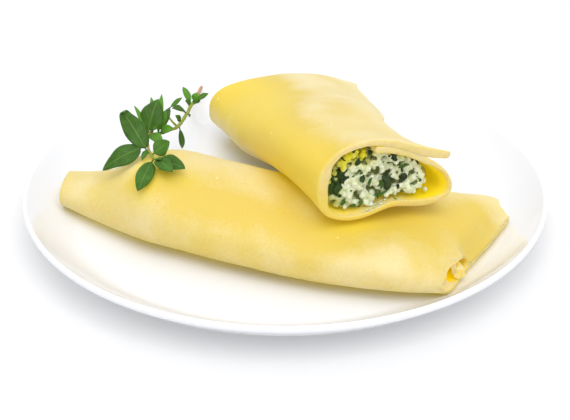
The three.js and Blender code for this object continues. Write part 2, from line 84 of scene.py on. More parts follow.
# The cut roll's sections are also tilted, and their underside is raised by dent. The sheet leaves them at
# the angle leave as a flap of a length, which bends over by bend, both in degrees.
CUT_KEYS = (
    "at", "x", "y", "z", "turn", "tilt", "half", "crown", "waist_left", "waist_right", "lean",
    "left", "right", "heel_left", "heel_right", "dent", "flap", "bend", "leave",
)
CUT_STATIONS = (
    (0, 36.9, -43.6, 30.1, 20, 1.5, 24, 26.9, 11, 6.3, -8.5, 2.3, 1.8, 2.9, 3, 3.1, 16, 2, 307),
    (0.12, 30.8, -30, 29.4, 20.5, 1.2, 22.9, 24.5, 11, 6.7, -9.2, 2.3, 1.8, 2.85, 2.9, 1.5, 12, -26, 308.5),
    (0.25, 23.9, -15.5, 28.6, 21, 1, 23, 22.9, 11, 7, -9, 2.3, 1.8, 2.8, 2.8, 0.2, 9, -30, 311),
    (0.45, 16, 6, 23.5, 22, 0, 23.9, 23.6, 11.5, 7.5, -5, 2.3, 1.8, 2.6, 2.7, 0, 13.5, -34, 308),
    (0.68, 7.8, 31, 15.2, 23, 0, 25.2, 23.3, 11.5, 8, -2, 2.3, 1.9, 2.4, 2.6, 0, 26, -34, 301),
    (0.95, -4.7, 64, 8.4, 23, 0, 23.4, 20.7, 10.5, 7.5, 2.6, 2.7, 2.2, 2.1, 2.6, 0, 29, -31, 286),
    (1, -6.6, 69, 8.2, 20, 0, 23.3, 19.1, 9.5, 8, 0, 3.2, 2.2, 2.1, 2.6, 0, 32, -24, 286),
)
DENT_AT, DENT_WIDTH = 1.5, 9.5  # of the raised middle of the cut roll's underside, near the cut
WRAP_START = 77  # where the sheet begins, in degrees round the section
WRAP_RISE = (0.58, 0.86)  # the share of a turn over which it climbs onto itself
WRAP_CLEARANCE = 0.3


def stations(keys, rows, **same):
    """The rows as dictionaries of their named sizes, with the sizes that stay the same along the roll."""
    return [dict(zip(keys, row), **same) for row in rows]


WHOLE = stations(WHOLE_KEYS, WHOLE_STATIONS, tilt=0, heel_left=WHOLE_HEEL, heel_right=WHOLE_HEEL, dent=0)
for station in WHOLE:
    station["waist_left"] = station["waist_right"] = station["waist"]
CUT = stations(CUT_KEYS, CUT_STATIONS)

# ---------------------------------------------------------------- settings


def colour(name, description, default):
    return FloatVectorProperty(
        name=name, description=description, default=default, subtype="COLOR", size=3, min=0, max=1
    )


def metres(name, description, default):
    return FloatProperty(name=name, description=description, default=default, unit="LENGTH")


class PlateSettings(bpy.types.PropertyGroup):
    radius: metres("Radius", "Half the plate's diameter", 0.1)
    well_radius: metres("Well radius", "Half the width of the flat middle", 0.08)
    lip_height: metres("Lip height", "Height of the lip over the table", 0.017)
    glaze: colour("Glaze", "Colour of the glazed china", (0.86, 0.873, 0.925))


class PastaSettings(bpy.types.PropertyGroup):
    relief: metres("Relief", "Depth of the soft dents in the pasta", 0.0004)
    pale: colour("Pale pasta", "Colour of the floury, thick places", (0.8, 0.69, 0.38))
    # Golden is also the painted shade on the sides of the rolls turned from the light.
    golden: colour("Golden pasta", "Colour of the moist, thin places", (0.72, 0.54, 0.1))
    # Painted shade: this colour darkens the pasta inside folds, along its underside and where other pieces
    # shade it.
    deep: colour("Deep pasta", "Colour inside folds and under the roll", (0.8, 0.6, 0.005))
    # Painted light: the glow is an emission inside the folds, standing in for light through the thin pasta.
    glow: FloatProperty(
        name="Glow", description="Light that comes through the thin pasta inside folds", default=0.22
    )
    rings: IntProperty(name="Rings", description="Sections along each roll", default=170, min=20)


class FillingSettings(bpy.types.PropertyGroup):
    curd_size: metres("Curd size", "Radius of the smallest curds", 0.0008)
    cheese: colour("Ricotta", "Colour of the curds", (0.86, 0.89, 0.72))
    oil: colour("Oil", "Colour of the oily cheese under the crown", (0.78, 0.73, 0.02))
    # The gaps colour is partly painted shade: it also darkens the hollows between the curds.
    gaps: colour("Gaps", "Colour of the green-stained cheese between the curds", (0.42, 0.46, 0.16))
    spinach: colour("Spinach", "Colour of the leaf pieces", (0.012, 0.026, 0.005))


class SprigSettings(bpy.types.PropertyGroup):
    leaf_thickness: metres("Leaf thickness", "Thickness of a leaf", 0.0005)
    mature: colour("Leaf", "Colour of the grown leaves", (0.034, 0.1, 0.007))
    young: colour("Young leaf", "Colour of the small new leaves", (0.1, 0.29, 0.015))
    stem: colour("Stem", "Colour of the stem", (0.33, 0.38, 0.05))


class StageSettings(bpy.types.PropertyGroup):
    elevation: FloatProperty(
        name="Elevation", description="How far the camera looks down", default=math.radians(29.205),
        subtype="ANGLE",
    )
    distance: metres("Distance", "From the camera to the dish", 0.75)
    floor: colour("Floor", "Colour of the table", (0.62, 0.62, 0.62))


# ---------------------------------------------------------------- curves and sections


def smooth(value, low, high):
    """0 below low, 1 above high, and smooth between them."""
    share = np.clip((value - low) / (high - low), 0, 1)
    return share * share * (3 - 2 * share)


def hump(value, middle, width):
    """1 at the middle, falling smoothly to nothing on both sides."""
    return np.exp(-(((value - middle) / width) ** 2))


def plateau(value, low, full, leaving, high):
    """0 outside low and high, 1 between full and leaving, and smooth between them."""
    return smooth(value, low, full) * (1 - smooth(value, leaving, high))


def sizes_at(rows, place):
    """The sizes of a roll at a place from 0 to 1 along it, on smooth curves through its stations."""
    at = [row["at"] for row in rows]
    last = len(rows) - 2
    i = int(np.clip(np.searchsorted(at, place, side="right") - 1, 0, last))
    span = at[i + 1] - at[i]
    t = (place - at[i]) / span
    result = {}
    for key in rows[0]:
        values = [row[key] for row in rows]
        rates = [(values[k + 1] - values[k]) / (at[k + 1] - at[k]) for k in range(last + 1)]
        slopes = [0.0] * len(rows)
        for k in range(1, last + 1):
            before, after = at[k] - at[k - 1], at[k + 1] - at[k]
            slopes[k] = (rates[k - 1] * after + rates[k] * before) / (before + after)
        slopes[0] = 1.5 * rates[0] - 0.5 * slopes[1]
        slopes[-1] = 1.5 * rates[-1] - 0.5 * slopes[-2]
        result[key] = (
            (2 * t**3 - 3 * t**2 + 1) * values[i]
            + (t**3 - 2 * t**2 + t) * span * slopes[i]
            + (3 * t**2 - 2 * t**3) * values[i + 1]
            + (t**3 - t**2) * span * slopes[i + 1]
        )
    return result


def section(angles, s):
    """Points of a section's closed base curve, at angles from its right side."""
    across, up = np.cos(angles), np.sin(angles)
    fullness = np.where(
        up >= 0,
        np.where(across >= 0, s["right"], s["left"]),
        np.where(across >= 0, s["heel_right"], s["heel_left"]),
    )
    waist = s["waist_left"] + (s["waist_right"] - s["waist_left"]) * (0.5 + 0.5 * across)
    rise = np.abs(up) ** (2 / fullness)
    x = np.sign(across) * np.abs(across) ** (2 / fullness) * s["half"]
    x += s["lean"] * np.maximum(up, 0) ** 1.5
    dent = s["dent"] * hump(x, DENT_AT, DENT_WIDTH) * rise
    z = waist + np.where(up >= 0, (s["crown"] - waist) * rise, dent - waist * rise)
    return np.stack([x, z], -1)


def even_steps(points, count):
    """The same line through points, in a plane or in space, at even steps."""
    lengths = np.concatenate([[0], np.cumsum(np.linalg.norm(np.diff(points, axis=0), axis=1))])
    wanted = np.linspace(0, lengths[-1], count)
    return np.stack([np.interp(wanted, lengths, values) for values in points.T], -1)


def right_normals(points):
    """Unit vectors to the right of a flat line, at each of its points."""
    run = np.gradient(points, axis=0)
    run /= np.maximum(np.hypot(run[:, 0], run[:, 1]), 1e-9)[:, None]
    return np.stack([run[:, 1], -run[:, 0]], -1)


def rise_after(turned):
    """How far the sheet has risen onto itself, after a share of a turn."""
    return (SHEET + WRAP_CLEARANCE) * smooth(turned, *WRAP_RISE)


def room_distance(clearance):
    """How far out of the pasta's middle the room inside it reaches, at each half degree of the section."""
    degrees = np.arange(720) / 2
    step = smooth(degrees, WRAP_START + 4, WRAP_START + 13)
    return step * rise_after((WRAP_START + 360 - degrees) / 360 - 0.01) - SHEET / 2 - clearance


def ring_outline(s, distance, count):
    """A closed outline round the pasta's middle, at a distance outward: one, or one each half degree."""
    angles = np.linspace(0, 2 * math.pi, 721)
    points = section(angles, s)
    run = np.roll(points[:-1], -1, 0) - np.roll(points[:-1], 1, 0)
    run /= np.hypot(run[:, 0], run[:, 1])[:, None]
    outward = np.stack([run[:, 1], -run[:, 0]], -1)
    outline = points[:-1] + outward * np.broadcast_to(distance, (720,))[:, None]
    return even_steps(np.vstack([outline, outline[:1]]), count + 1)[:-1]


def sheet_middle(s, count):
    """The middle of the rolled sheet, from its inner edge to the edge of the flap."""
    angles = np.linspace(math.radians(WRAP_START), -math.radians(s["leave"]), 600)
    row = section(angles, s)
    turned = (angles[0] - angles) / (2 * math.pi)
    row = row - right_normals(row) * rise_after(turned)[:, None]
    heading = math.atan2(*(row[-1] - row[-12])[::-1])
    steps = 40
    turns = heading + math.radians(s["bend"]) * np.arange(1, steps + 1) / steps
    flap = np.cumsum(np.stack([np.cos(turns), np.sin(turns)], -1) * s["flap"] / steps, 0)
    return even_steps(np.vstack([row, row[-1] + flap]), count)


def stand(outline, s):
    """A flat outline stood up at a station's place, in millimetres."""
    turn, tilt = math.radians(s["turn"]), math.radians(s["tilt"])
    across = outline[:, 0] * math.cos(tilt) - outline[:, 1] * math.sin(tilt)
    up = outline[:, 0] * math.sin(tilt) + outline[:, 1] * math.cos(tilt)
    return np.stack(
        [s["x"] + across * math.cos(turn), s["y"] + across * math.sin(turn), s["z"] + up], -1
    )


def crowded_places(count, share=0.5):
    """Places from 0 to 1 that lie closer together near both ends."""
    t = np.linspace(0, 1, count)
    return (1 - share) * t + share * (0.5 - 0.5 * np.cos(math.pi * t))


def noise_at(points, size, seed=0.0):
    """Smooth noise from -1 to 1 whose dents are about size millimetres wide."""
    offset = Vector((seed * 17.3, seed * 5.1, seed * 9.7))
    flat = np.asarray(points, float).reshape(-1, 3) / size
    values = np.array([noise.noise(Vector(p) + offset) for p in flat])
    return values.reshape(np.asarray(points).shape[:-1])


def grid_normals(grid):
    """Unit vectors square to a grid of points that is closed round its rows."""
    along = np.gradient(grid, axis=0)
    around = np.roll(grid, -1, 1) - np.roll(grid, 1, 1)
    normal = np.cross(along, around)
    return normal / np.maximum(np.linalg.norm(normal, axis=-1), 1e-9)[..., None]


# ---------------------------------------------------------------- meshes


def grid_faces(rows, columns, start=0, closed=True):
    """Four-sided faces between rows of points, which are numbered from start and may be closed rings."""
    faces = []
    for i in range(rows - 1):
        for j in range(columns if closed else columns - 1):
            k = (j + 1) % columns
            a, b = start + i * columns, start + (i + 1) * columns
            faces.append((a + j, a + k, b + k, b + j))
    return faces


def tube_faces(rows, columns):
    """Faces of a closed skin over rings of points, with one face over the first and one over the last."""
    last = (rows - 1) * columns
    return grid_faces(rows, columns) + [tuple(range(columns)), tuple(range(last, last + columns))]


def smooth_skin(name, points, faces):
    """A smooth closed mesh over points in millimetres, with its faces turned outward."""
    mesh = bpy.data.meshes.new(name)
    mesh.from_pydata((np.asarray(points, float) * MM).tolist(), [], faces)
    work = bmesh.new()
    work.from_mesh(mesh)
    bmesh.ops.recalc_face_normals(work, faces=work.faces)
    work.to_mesh(mesh)
    work.free()
    mesh.polygons.foreach_set("use_smooth", [True] * len(mesh.polygons))
    return mesh


def make_piece(name, points, faces, replaced, material, masks=None):
    """A closed mesh in millimetres as a piece of the dish, with masks as values on its points."""
    mesh = smooth_skin(name, points, faces)
    mesh.materials.append(material)
    for mask, values in (masks or {}).items():
        attribute = mesh.attributes.new(mask, "FLOAT", "POINT")
        attribute.data.foreach_set("value", np.asarray(values, np.float32).ravel())
    mesh.update()
    piece = bpy.data.objects.new(name, mesh)
    bpy.context.scene.collection.objects.link(piece)
    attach(piece, "root")
    if replaced:
        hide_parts(*replaced)
    return piece


def cut_away(piece, name, rings):
    """Takes the form over the rings out of a piece."""
    rings = np.array(rings)
    form = smooth_skin(name, rings.reshape(-1, 3), tube_faces(*rings.shape[:2]))
    form.materials.append(piece.data.materials[0])
    cutter = bpy.data.objects.new(name, form)
    bpy.context.scene.collection.objects.link(cutter)
    cut = piece.modifiers.new(name, "BOOLEAN")
    cut.operation, cut.solver, cut.object = "DIFFERENCE", "EXACT", cutter
    apply_modifiers(piece)
    bpy.data.objects.remove(cutter)


def apply_modifiers(piece):
    """Keeps the shape that a piece's modifiers give, and removes them."""
    bpy.context.view_layer.update()
    shaped = piece.evaluated_get(bpy.context.evaluated_depsgraph_get())
    mesh = bpy.data.meshes.new_from_object(shaped)
    old = piece.data
    name = old.name
    piece.modifiers.clear()
    piece.data = mesh
    bpy.data.meshes.remove(old)
    mesh.name = name
    mesh.polygons.foreach_set("use_smooth", [True] * len(mesh.polygons))
    sharpen_edges(piece)


def sharpen_edges(piece):
    """Keeps cut edges crisp on a smoothly shaded piece."""
    piece.data.set_sharp_from_angle(angle=math.radians(55))


def distances(points, others):
    """How far each point is from the nearest of the others, in millimetres."""
    tree = KDTree(len(others))
    for i, spot in enumerate(others):
        tree.insert(spot, i)
    tree.balance()
    flat = np.asarray(points).reshape(-1, 3)
    return np.array([tree.find(spot)[2] for spot in flat]).reshape(points.shape[:-1])


def shade(points, others, strength, start, reach):
    """A mask that is strength up to start from the others, and fades over reach beyond it."""
    return strength * np.exp(-(np.maximum(distances(points, others) - start, 0) / reach))


class Parts:
    """Gathers the points, faces and masks of many small closed forms for one piece."""

    def __init__(self, masks=()):
        self.points, self.faces = [], []
        self.masks = {name: [] for name in masks}
        self.count = 0

    def add(self, points, faces, **masks):
        points = np.asarray(points, float)
        self.points.append(points)
        self.faces += [tuple(self.count + v for v in face) for face in faces]
        for name, values in self.masks.items():
            value = masks.get(name, 0.0)
            values.append(np.broadcast_to(np.asarray(value, float), (len(points),)))
        self.count += len(points)

    def add_loft(self, rings, **masks):
        """Adds a closed skin over rings of equal length."""
        rings = np.array(rings)
        self.add(rings.reshape(-1, 3), tube_faces(*rings.shape[:2]), **masks)

    def arrays(self):
        masks = {name: np.concatenate(values) for name, values in self.masks.items()}
        return np.vstack(self.points), self.faces, masks


def ball(divisions):
    """The points and faces of a small round form of radius 1."""
    work = bmesh.new()
    bmesh.ops.create_icosphere(work, subdivisions=divisions, radius=1)
    points = np.array([v.co[:] for v in work.verts])
    faces = [tuple(v.index for v in f.verts) for f in work.faces]
    work.free()
    return points, faces


# ---------------------------------------------------------------- shader node groups


class NodeMaker:
    """Short words for building a node tree."""

    def __init__(self, tree):
        self.tree = tree

    def add(self, kind, settings=None, **inputs):
        node = self.tree.nodes.new(kind)
        for name, value in (settings or {}).items():
            setattr(node, name, value)
        for name, value in inputs.items():
            self.feed(node, name.replace("_", " "), value)
        return node

    def feed(self, node, name, value):
        socket = node.inputs[int(name)] if name.isdigit() else node.inputs[name]
        if isinstance(value, bpy.types.NodeSocket):
            self.tree.links.new(value, socket)
        else:
            socket.default_value = value

    def math(self, operation, a, b=0.5, c=0.5, clamp=False):
        node = self.add("ShaderNodeMath", {"operation": operation, "use_clamp": clamp})
        for index, value in enumerate((a, b, c)):
            self.feed(node, str(index), value)
        return node.outputs[0]

    def mix(self, factor, a, b, blend="MIX"):
        node = self.add("ShaderNodeMix", {"data_type": "RGBA", "blend_type": blend})
        self.feed(node, "0", factor)
        self.feed(node, "6", a)
        self.feed(node, "7", b)
        return node.outputs[2]

    def ramp(self, value, low, high):
        """0 below low and 1 above high."""
        node = self.add(
            "ShaderNodeMapRange", {"interpolation_type": "SMOOTHSTEP"},
            Value=value, From_Min=low, From_Max=high,
        )
        return node.outputs[0]

    def noise(self, vector, scale, detail=2.0, roughness=0.5, distortion=0.0):
        node = self.add(
            "ShaderNodeTexNoise", None, Vector=vector, Scale=scale, Detail=detail,
            Roughness=roughness, Distortion=distortion,
        )
        return node.outputs[0]

    def mask(self, name):
        return self.add("ShaderNodeAttribute", {"attribute_name": name}).outputs["Fac"]

    def place(self):
        return self.add("ShaderNodeTexCoord").outputs["Object"]


def rgba(value):
    return (*value, 1.0)


def new_group(name, inputs, outputs):
    """A shader node group with (name, kind, default) inputs and (name, kind) outputs."""
    tree = bpy.data.node_groups.new(name, "ShaderNodeTree")
    for label, kind, default in inputs:
        socket = tree.interface.new_socket(label, in_out="INPUT", socket_type="NodeSocket" + kind)
        socket.default_value = default
    for label, kind in outputs:
        tree.interface.new_socket(label, in_out="OUTPUT", socket_type="NodeSocket" + kind)
    maker = NodeMaker(tree)
    return maker, tree.nodes.new("NodeGroupInput").outputs, tree.nodes.new("NodeGroupOutput")


def shifted_place(maker, seed):
    """The place on the piece, moved by a seed so that two materials don't share one pattern."""
    place = maker.add("ShaderNodeVectorMath", {"operation": "ADD"})
    maker.feed(place, "0", maker.place())
    maker.feed(place, "1", seed)
    return place.outputs[0]


def mottle_group():
    """Soft cloudy patches and finer grain, as a mask and a height."""
    tree = bpy.data.node_groups.get("Mottle")
    if tree:
        return tree
    maker, given, result = new_group(
        "Mottle",
        [("Patch Size", "Float", 0.02), ("Grain Size", "Float", 0.001), ("Seed", "Float", 0.0)],
        [("Patches", "Float"), ("Grain", "Float")],
    )
    place = shifted_place(maker, given["Seed"])
    patch_scale = maker.math("DIVIDE", 1.0, given["Patch Size"])
    grain_scale = maker.math("DIVIDE", 1.0, given["Grain Size"])
    maker.feed(result, "Patches", maker.noise(place, patch_scale, 3.0, 0.55, 0.4))
    maker.feed(result, "Grain", maker.noise(place, grain_scale, 3.0, 0.6))
    return maker.tree


def specks_group():
    """Small scattered dots, as a mask."""
    tree = bpy.data.node_groups.get("Specks")
    if tree:
        return tree
    maker, given, result = new_group(
        "Specks",
        [
            ("Spacing", "Float", 0.01), ("Size", "Float", 0.05),
            ("Share", "Float", 0.5), ("Seed", "Float", 0.0),
        ],
        [("Dots", "Float")],
    )
    place = shifted_place(maker, given["Seed"])
    scale = maker.math("DIVIDE", 1.0, given["Spacing"])
    cells = maker.add("ShaderNodeTexVoronoi", None, Vector=place, Scale=scale)
    dot = maker.math("LESS_THAN", cells.outputs["Distance"], given["Size"])
    draw = maker.add("ShaderNodeSeparateColor", None, Color=cells.outputs["Color"])
    chosen = maker.math("LESS_THAN", draw.outputs[0], given["Share"])
    maker.feed(result, "Dots", maker.math("MULTIPLY", dot, chosen))
    return maker.tree


def use_group(maker, tree, **inputs):
    node = maker.tree.nodes.new("ShaderNodeGroup")
    node.node_tree = tree
    for name, value in inputs.items():
        maker.feed(node, name.replace("_", " "), value)
    return node.outputs


def new_material(name, **sockets):
    """A material whose Principled BSDF has these plain values; returns it with its maker and shader."""
    material = bpy.data.materials.new(name)
    material.use_nodes = True
    shader = material.node_tree.nodes["Principled BSDF"]
    maker = NodeMaker(material.node_tree)
    for label, value in sockets.items():
        maker.feed(shader, label.replace("_", " "), value)
    return material, maker, shader


def dress(maker, shader, base, grain, roughness, bump):
    """Feeds the shader its colour, a roughness that varies with the grain, and a bump.

    roughness is how much it varies and its least value; bump is a height, its depth in metres and its
    strength.
    """
    maker.feed(shader, "Base Color", base)
    maker.feed(shader, "Roughness", maker.math("MULTIPLY_ADD", grain, *roughness))
    height, distance, strength = bump
    bumped = maker.add("ShaderNodeBump", None, Height=height, Distance=distance, Strength=strength)
    maker.feed(shader, "Normal", bumped.outputs[0])


# ---------------------------------------------------------------- materials

# Colours of the small marks: specks, flour (its colour also paints highlight), stained cheese, veins and the
# like.
BROWN_SPECK = (0.62, 0.36, 0.02, 1)
FLOUR_AND_HIGHLIGHT = (0.88, 0.81, 0.5, 1)
WHEY_GREEN = (0.55, 0.62, 0.27, 1)
GREEN_FLECK = (0.06, 0.13, 0.015, 1)
FRESH_SPINACH = (0.07, 0.2, 0.02, 1)
LEAF_VEIN = (0.2, 0.36, 0.06, 1)
LEAF_UNDERSIDE = (0.16, 0.26, 0.12, 1)
STEM_SHADE = (0.2, 0.3, 0.04, 1)
WOOD = (0.55, 0.3, 0.17, 1)
DULL_GLAZE = (0.8, 0.8, 0.79, 1)
BLACK = (0, 0, 0, 1)


def lighter(value, share):
    """A colour made lighter by a share of itself."""
    return rgba(min(1.0, share * part + 0.01) for part in value)


def glaze_material(settings):
    material, maker, shader = new_material(
        "white_glaze", Coat_Weight=0.4, Coat_Roughness=0.04, Specular_IOR_Level=0.5
    )
    mottle = use_group(maker, mottle_group(), Patch_Size=0.05, Grain_Size=0.004, Seed=3.0)
    tone = maker.math("MULTIPLY_ADD", mottle["Patches"], 0.02, 0.985)
    base = maker.mix(tone, DULL_GLAZE, rgba(settings.glaze))
    dress(maker, shader, base, mottle["Grain"], (0.06, 0.12), (mottle["Patches"], 0.0002, 0.3))
    return material


def pasta_material(settings):
    material = bpy.data.materials.get("cooked_pasta")
    if material:
        return material
    material, maker, shader = new_material(
        "cooked_pasta", Subsurface_Weight=0.4, Subsurface_Radius=(1.0, 0.7, 0.15),
        Subsurface_Scale=0.0024, Specular_IOR_Level=0.35,
    )
    mottle = use_group(maker, mottle_group(), Patch_Size=0.022, Grain_Size=0.0011, Seed=1.0)
    patches = maker.ramp(mottle["Patches"], 0.35, 0.68)
    grain = maker.ramp(mottle["Grain"], 0.3, 0.7)
    tone = maker.math("MULTIPLY_ADD", grain, 0.2, maker.math("MULTIPLY_ADD", patches, 0.36, 0.34))
    # Painted shade: a mask pulls the sides turned from the light towards golden.
    tone = maker.math("SUBTRACT", tone, maker.mask("golden"), clamp=True)
    # Painted shade and glow: a mask darkens folds, undersides and shaded places towards a saturated yellow
    # and lights them from inside.
    deep = maker.mask("deep")
    base = maker.mix(tone, rgba(settings.golden), rgba(settings.pale))
    base = maker.mix(deep, base, rgba(settings.deep))
    brown = use_group(maker, specks_group(), Spacing=0.0045, Size=0.09, Share=0.3, Seed=2.0)
    base = maker.mix(maker.math("MULTIPLY", brown["Dots"], 0.35), base, BROWN_SPECK)
    flour = use_group(maker, specks_group(), Spacing=0.011, Size=0.05, Share=0.3, Seed=5.0)
    # Painted highlight: a mask whitens the flap where the light falls, besides flour on the cut rim and the
    # curl.
    whitish = maker.math("MAXIMUM", maker.math("MULTIPLY", flour["Dots"], 0.6), maker.mask("floury"))
    base = maker.mix(whitish, base, FLOUR_AND_HIGHLIGHT)
    # Painted glow: emission where the shade mask is, standing in for light through the thin pasta.
    lit = maker.mix(deep, BLACK, rgba((settings.glow, settings.glow * 0.8, 0)))
    maker.feed(shader, "Emission Color", lit)
    maker.feed(shader, "Emission Strength", maker.math("MAXIMUM", deep, 1.0))
    dress(maker, shader, base, mottle["Grain"], (0.2, 0.42), (mottle["Grain"], 0.00012, 0.5))
    return material


def cheese_material(settings):
    material = bpy.data.materials.get("ricotta")
    if material:
        return material
    material, maker, shader = new_material(
        "ricotta", Subsurface_Weight=0.3, Subsurface_Radius=(1.0, 1.0, 0.7),
        Subsurface_Scale=0.0006, Specular_IOR_Level=0.45,
    )
    mottle = use_group(maker, mottle_group(), Patch_Size=0.0019, Grain_Size=0.0005, Seed=7.0)
    patches = maker.ramp(mottle["Patches"], 0.4, 0.66)
    grain = maker.ramp(mottle["Grain"], 0.35, 0.65)
    tint = maker.math("MULTIPLY_ADD", patches, 0.6, maker.math("MULTIPLY", grain, 0.3))
    base = maker.mix(tint, rgba(settings.cheese), WHEY_GREEN)
    oily = maker.mask("oily")
    stain = maker.math("MULTIPLY_ADD", patches, 0.3, oily, clamp=True)
    base = maker.mix(maker.math("MULTIPLY", stain, oily), base, rgba(settings.oil))
    # Green stain with painted shade, darker in the hollows between the curds.
    base = maker.mix(maker.mask("green"), base, rgba(settings.gaps))
    flecks = use_group(maker, specks_group(), Spacing=0.0014, Size=0.22, Share=0.1, Seed=4.0)
    base = maker.mix(maker.math("MULTIPLY", flecks["Dots"], 0.75), base, GREEN_FLECK)
    dress(maker, shader, base, mottle["Grain"], (0.25, 0.28), (mottle["Grain"], 0.0004, 0.9))
    return material


def spinach_material(settings):
    material, maker, shader = new_material("cooked_spinach", Specular_IOR_Level=0.22)
    mottle = use_group(maker, mottle_group(), Patch_Size=0.003, Grain_Size=0.0005, Seed=9.0)
    patches = maker.ramp(mottle["Patches"], 0.4, 0.7)
    base = maker.mix(patches, rgba(settings.spinach), lighter(settings.spinach, 2.6))
    base = maker.mix(maker.mask("fresh"), base, FRESH_SPINACH)
    dress(maker, shader, base, mottle["Grain"], (0.3, 0.25), (mottle["Grain"], 0.0003, 0.7))
    return material


def leaf_material(settings):
    material, maker, shader = new_material(
        "thyme_leaf", Subsurface_Weight=0.1, Subsurface_Radius=(0.4, 1.0, 0.2),
        Subsurface_Scale=0.0008, Specular_IOR_Level=0.2,
    )
    mottle = use_group(maker, mottle_group(), Patch_Size=0.005, Grain_Size=0.0005, Seed=6.0)
    patches = maker.ramp(mottle["Patches"], 0.35, 0.7)
    side = maker.math("ABSOLUTE", maker.mask("side"))
    base = maker.mix(maker.mask("young"), rgba(settings.mature), rgba(settings.young))
    base = maker.mix(maker.math("MULTIPLY", patches, 0.55), base, lighter(settings.mature, 1.9))
    ribs = maker.math("MULTIPLY_ADD", side, -3.2, maker.math("MULTIPLY", maker.mask("along"), 5.5))
    wave = maker.math("SINE", maker.math("MULTIPLY", ribs, 2 * math.pi))
    vein = maker.math("MULTIPLY", maker.ramp(wave, 0.75, 1.0), 0.15)
    midrib = maker.math("SUBTRACT", 1.0, maker.ramp(side, 0.03, 0.11))
    mark = maker.math("MAXIMUM", vein, maker.math("MULTIPLY", midrib, 0.32))
    base = maker.mix(mark, base, LEAF_VEIN)
    base = maker.mix(maker.math("MULTIPLY", maker.mask("under"), 0.6), base, LEAF_UNDERSIDE)
    height = maker.math("MULTIPLY_ADD", mark, -0.5, mottle["Grain"])
    dress(maker, shader, base, mottle["Grain"], (0.2, 0.36), (height, 0.00015, 0.6))
    return material


def stem_material(settings):
    material, maker, shader = new_material("thyme_stem", Specular_IOR_Level=0.35)
    mottle = use_group(maker, mottle_group(), Patch_Size=0.004, Grain_Size=0.0004, Seed=8.0)
    base = maker.mix(maker.ramp(mottle["Patches"], 0.35, 0.7), rgba(settings.stem), STEM_SHADE)
    base = maker.mix(maker.mask("woody"), base, WOOD)
    dress(maker, shader, base, mottle["Grain"], (0.2, 0.5), (mottle["Grain"], 0.0001, 0.5))
    return material


def floor_material(settings):
    material, maker, shader = new_material(
        "pale_table", Specular_IOR_Level=0.1, Emission_Color=(1, 1, 1, 1), Emission_Strength=0.24
    )
    mottle = use_group(maker, mottle_group(), Patch_Size=0.3, Grain_Size=0.01, Seed=11.0)
    darker = rgba(part * 0.98 for part in settings.floor)
    maker.feed(shader, "Base Color", maker.mix(mottle["Patches"], rgba(settings.floor), darker))
    maker.feed(shader, "Roughness", maker.math("MULTIPLY_ADD", mottle["Grain"], 0.1, 0.85))
    return material


# ---------------------------------------------------------------- the plate

WELL_TOP, UNDERSIDE = 6.5, 2.5  # heights of the well's upper face and of the plate's lower face
LIP_ROUND = 1.4  # from the lip's crest to the plate's rim
# The foot ring in section, from the outside to the middle: radius and height.
FOOT = (
    (72, UNDERSIDE), (65, 2.45), (64.2, 2.2), (63.2, 0.7), (62.6, 0.15), (61.8, 0), (60.2, 0),
    (59.4, 0.15), (58.8, 0.7), (57.8, 2.2), (57, UNDERSIDE), (40, UNDERSIDE), (20, UNDERSIDE), (8, UNDERSIDE),
)


def plate_top(radius, settings):
    """Height of the plate's upper face, in millimetres."""
    well, lip = settings.well_radius / MM, settings.radius / MM - LIP_ROUND
    share = np.clip((radius - well) / (lip - well), 0, None)
    return WELL_TOP + (settings.lip_height / MM - WELL_TOP) * share**1.7


def plate_profile(settings):
    """The plate in section, from the middle over the lip and back under: radius and height."""
    outer, well = settings.radius / MM, settings.well_radius / MM
    lip = outer - LIP_ROUND
    rise = np.linspace(well - 3, lip, 34)
    upper = [(r, float(plate_top(r, settings))) for r in (8, 20, 34, 48, 62, 72, *rise)]
    crest = upper[-1][1]
    edge = [
        (lip + 0.5, crest + 0.12), (lip + 0.95, crest - 0.1), (outer - 0.12, crest - 0.6),
        (outer, crest - 1.3), (outer - 0.1, crest - 2), (outer - 0.55, crest - 2.8),
    ]
    lower = [
        (r, max(float(plate_top(r + 1.5, settings)) - 4, UNDERSIDE)) for r in rise[::-1][1:] if r < outer - 2
    ]
    return [*upper, *edge, *lower, *FOOT]


class CANNELLONI_OT_plate(bpy.types.Operator):
    """Turns the white dessert plate"""

    bl_idname = "cannelloni.plate"
    bl_label = "Plate"

    def execute(self, context):
        settings = context.scene.plate_settings
        profile = plate_profile(settings)
        around = 240
        angles = np.linspace(0, 2 * math.pi, around, endpoint=False)
        circle = np.stack([np.cos(angles), np.sin(angles)], -1)
        rings = [np.column_stack([r * circle, np.full(around, z)]) for r, z in profile]
        points = np.vstack(rings + [[[0, 0, WELL_TOP]], [[0, 0, UNDERSIDE]]])
        faces = grid_faces(len(profile), around)
        last = (len(profile) - 1) * around
        top, bottom = len(profile) * around, len(profile) * around + 1
        for j in range(around):
            k = (j + 1) % around
            faces += [(top, k, j), (bottom, last + j, last + k)]
        make_piece("china_plate", points, faces, ["plate"], glaze_material(settings))
        return {"FINISHED"}


# ---------------------------------------------------------------- the whole roll

# The roll's ends: how far each ring is drawn in, and how far it stands out. On the left is the edge of
# the rolled sheet, with the groove between its two turns, and on the right a small rounded edge.
LEFT_END = (
    (0.12, 0.35), (0.4, 0.75), (0.9, 1.0), (1.6, 0.95), (2.1, 0.6), (2.4, -0.6), (2.6, -1.2),
    (2.8, -0.4), (3.1, 0.1), (3.6, 0.3), (4.1, 0.1), (4.35, -0.9), (4.5, -1.6),
)
RIGHT_END = ((0.05, 0.15), (0.2, 0.4), (0.5, 0.6), (0.95, 0.7), (1.5, 0.68), (2.1, 0.5), (2.7, 0.35))

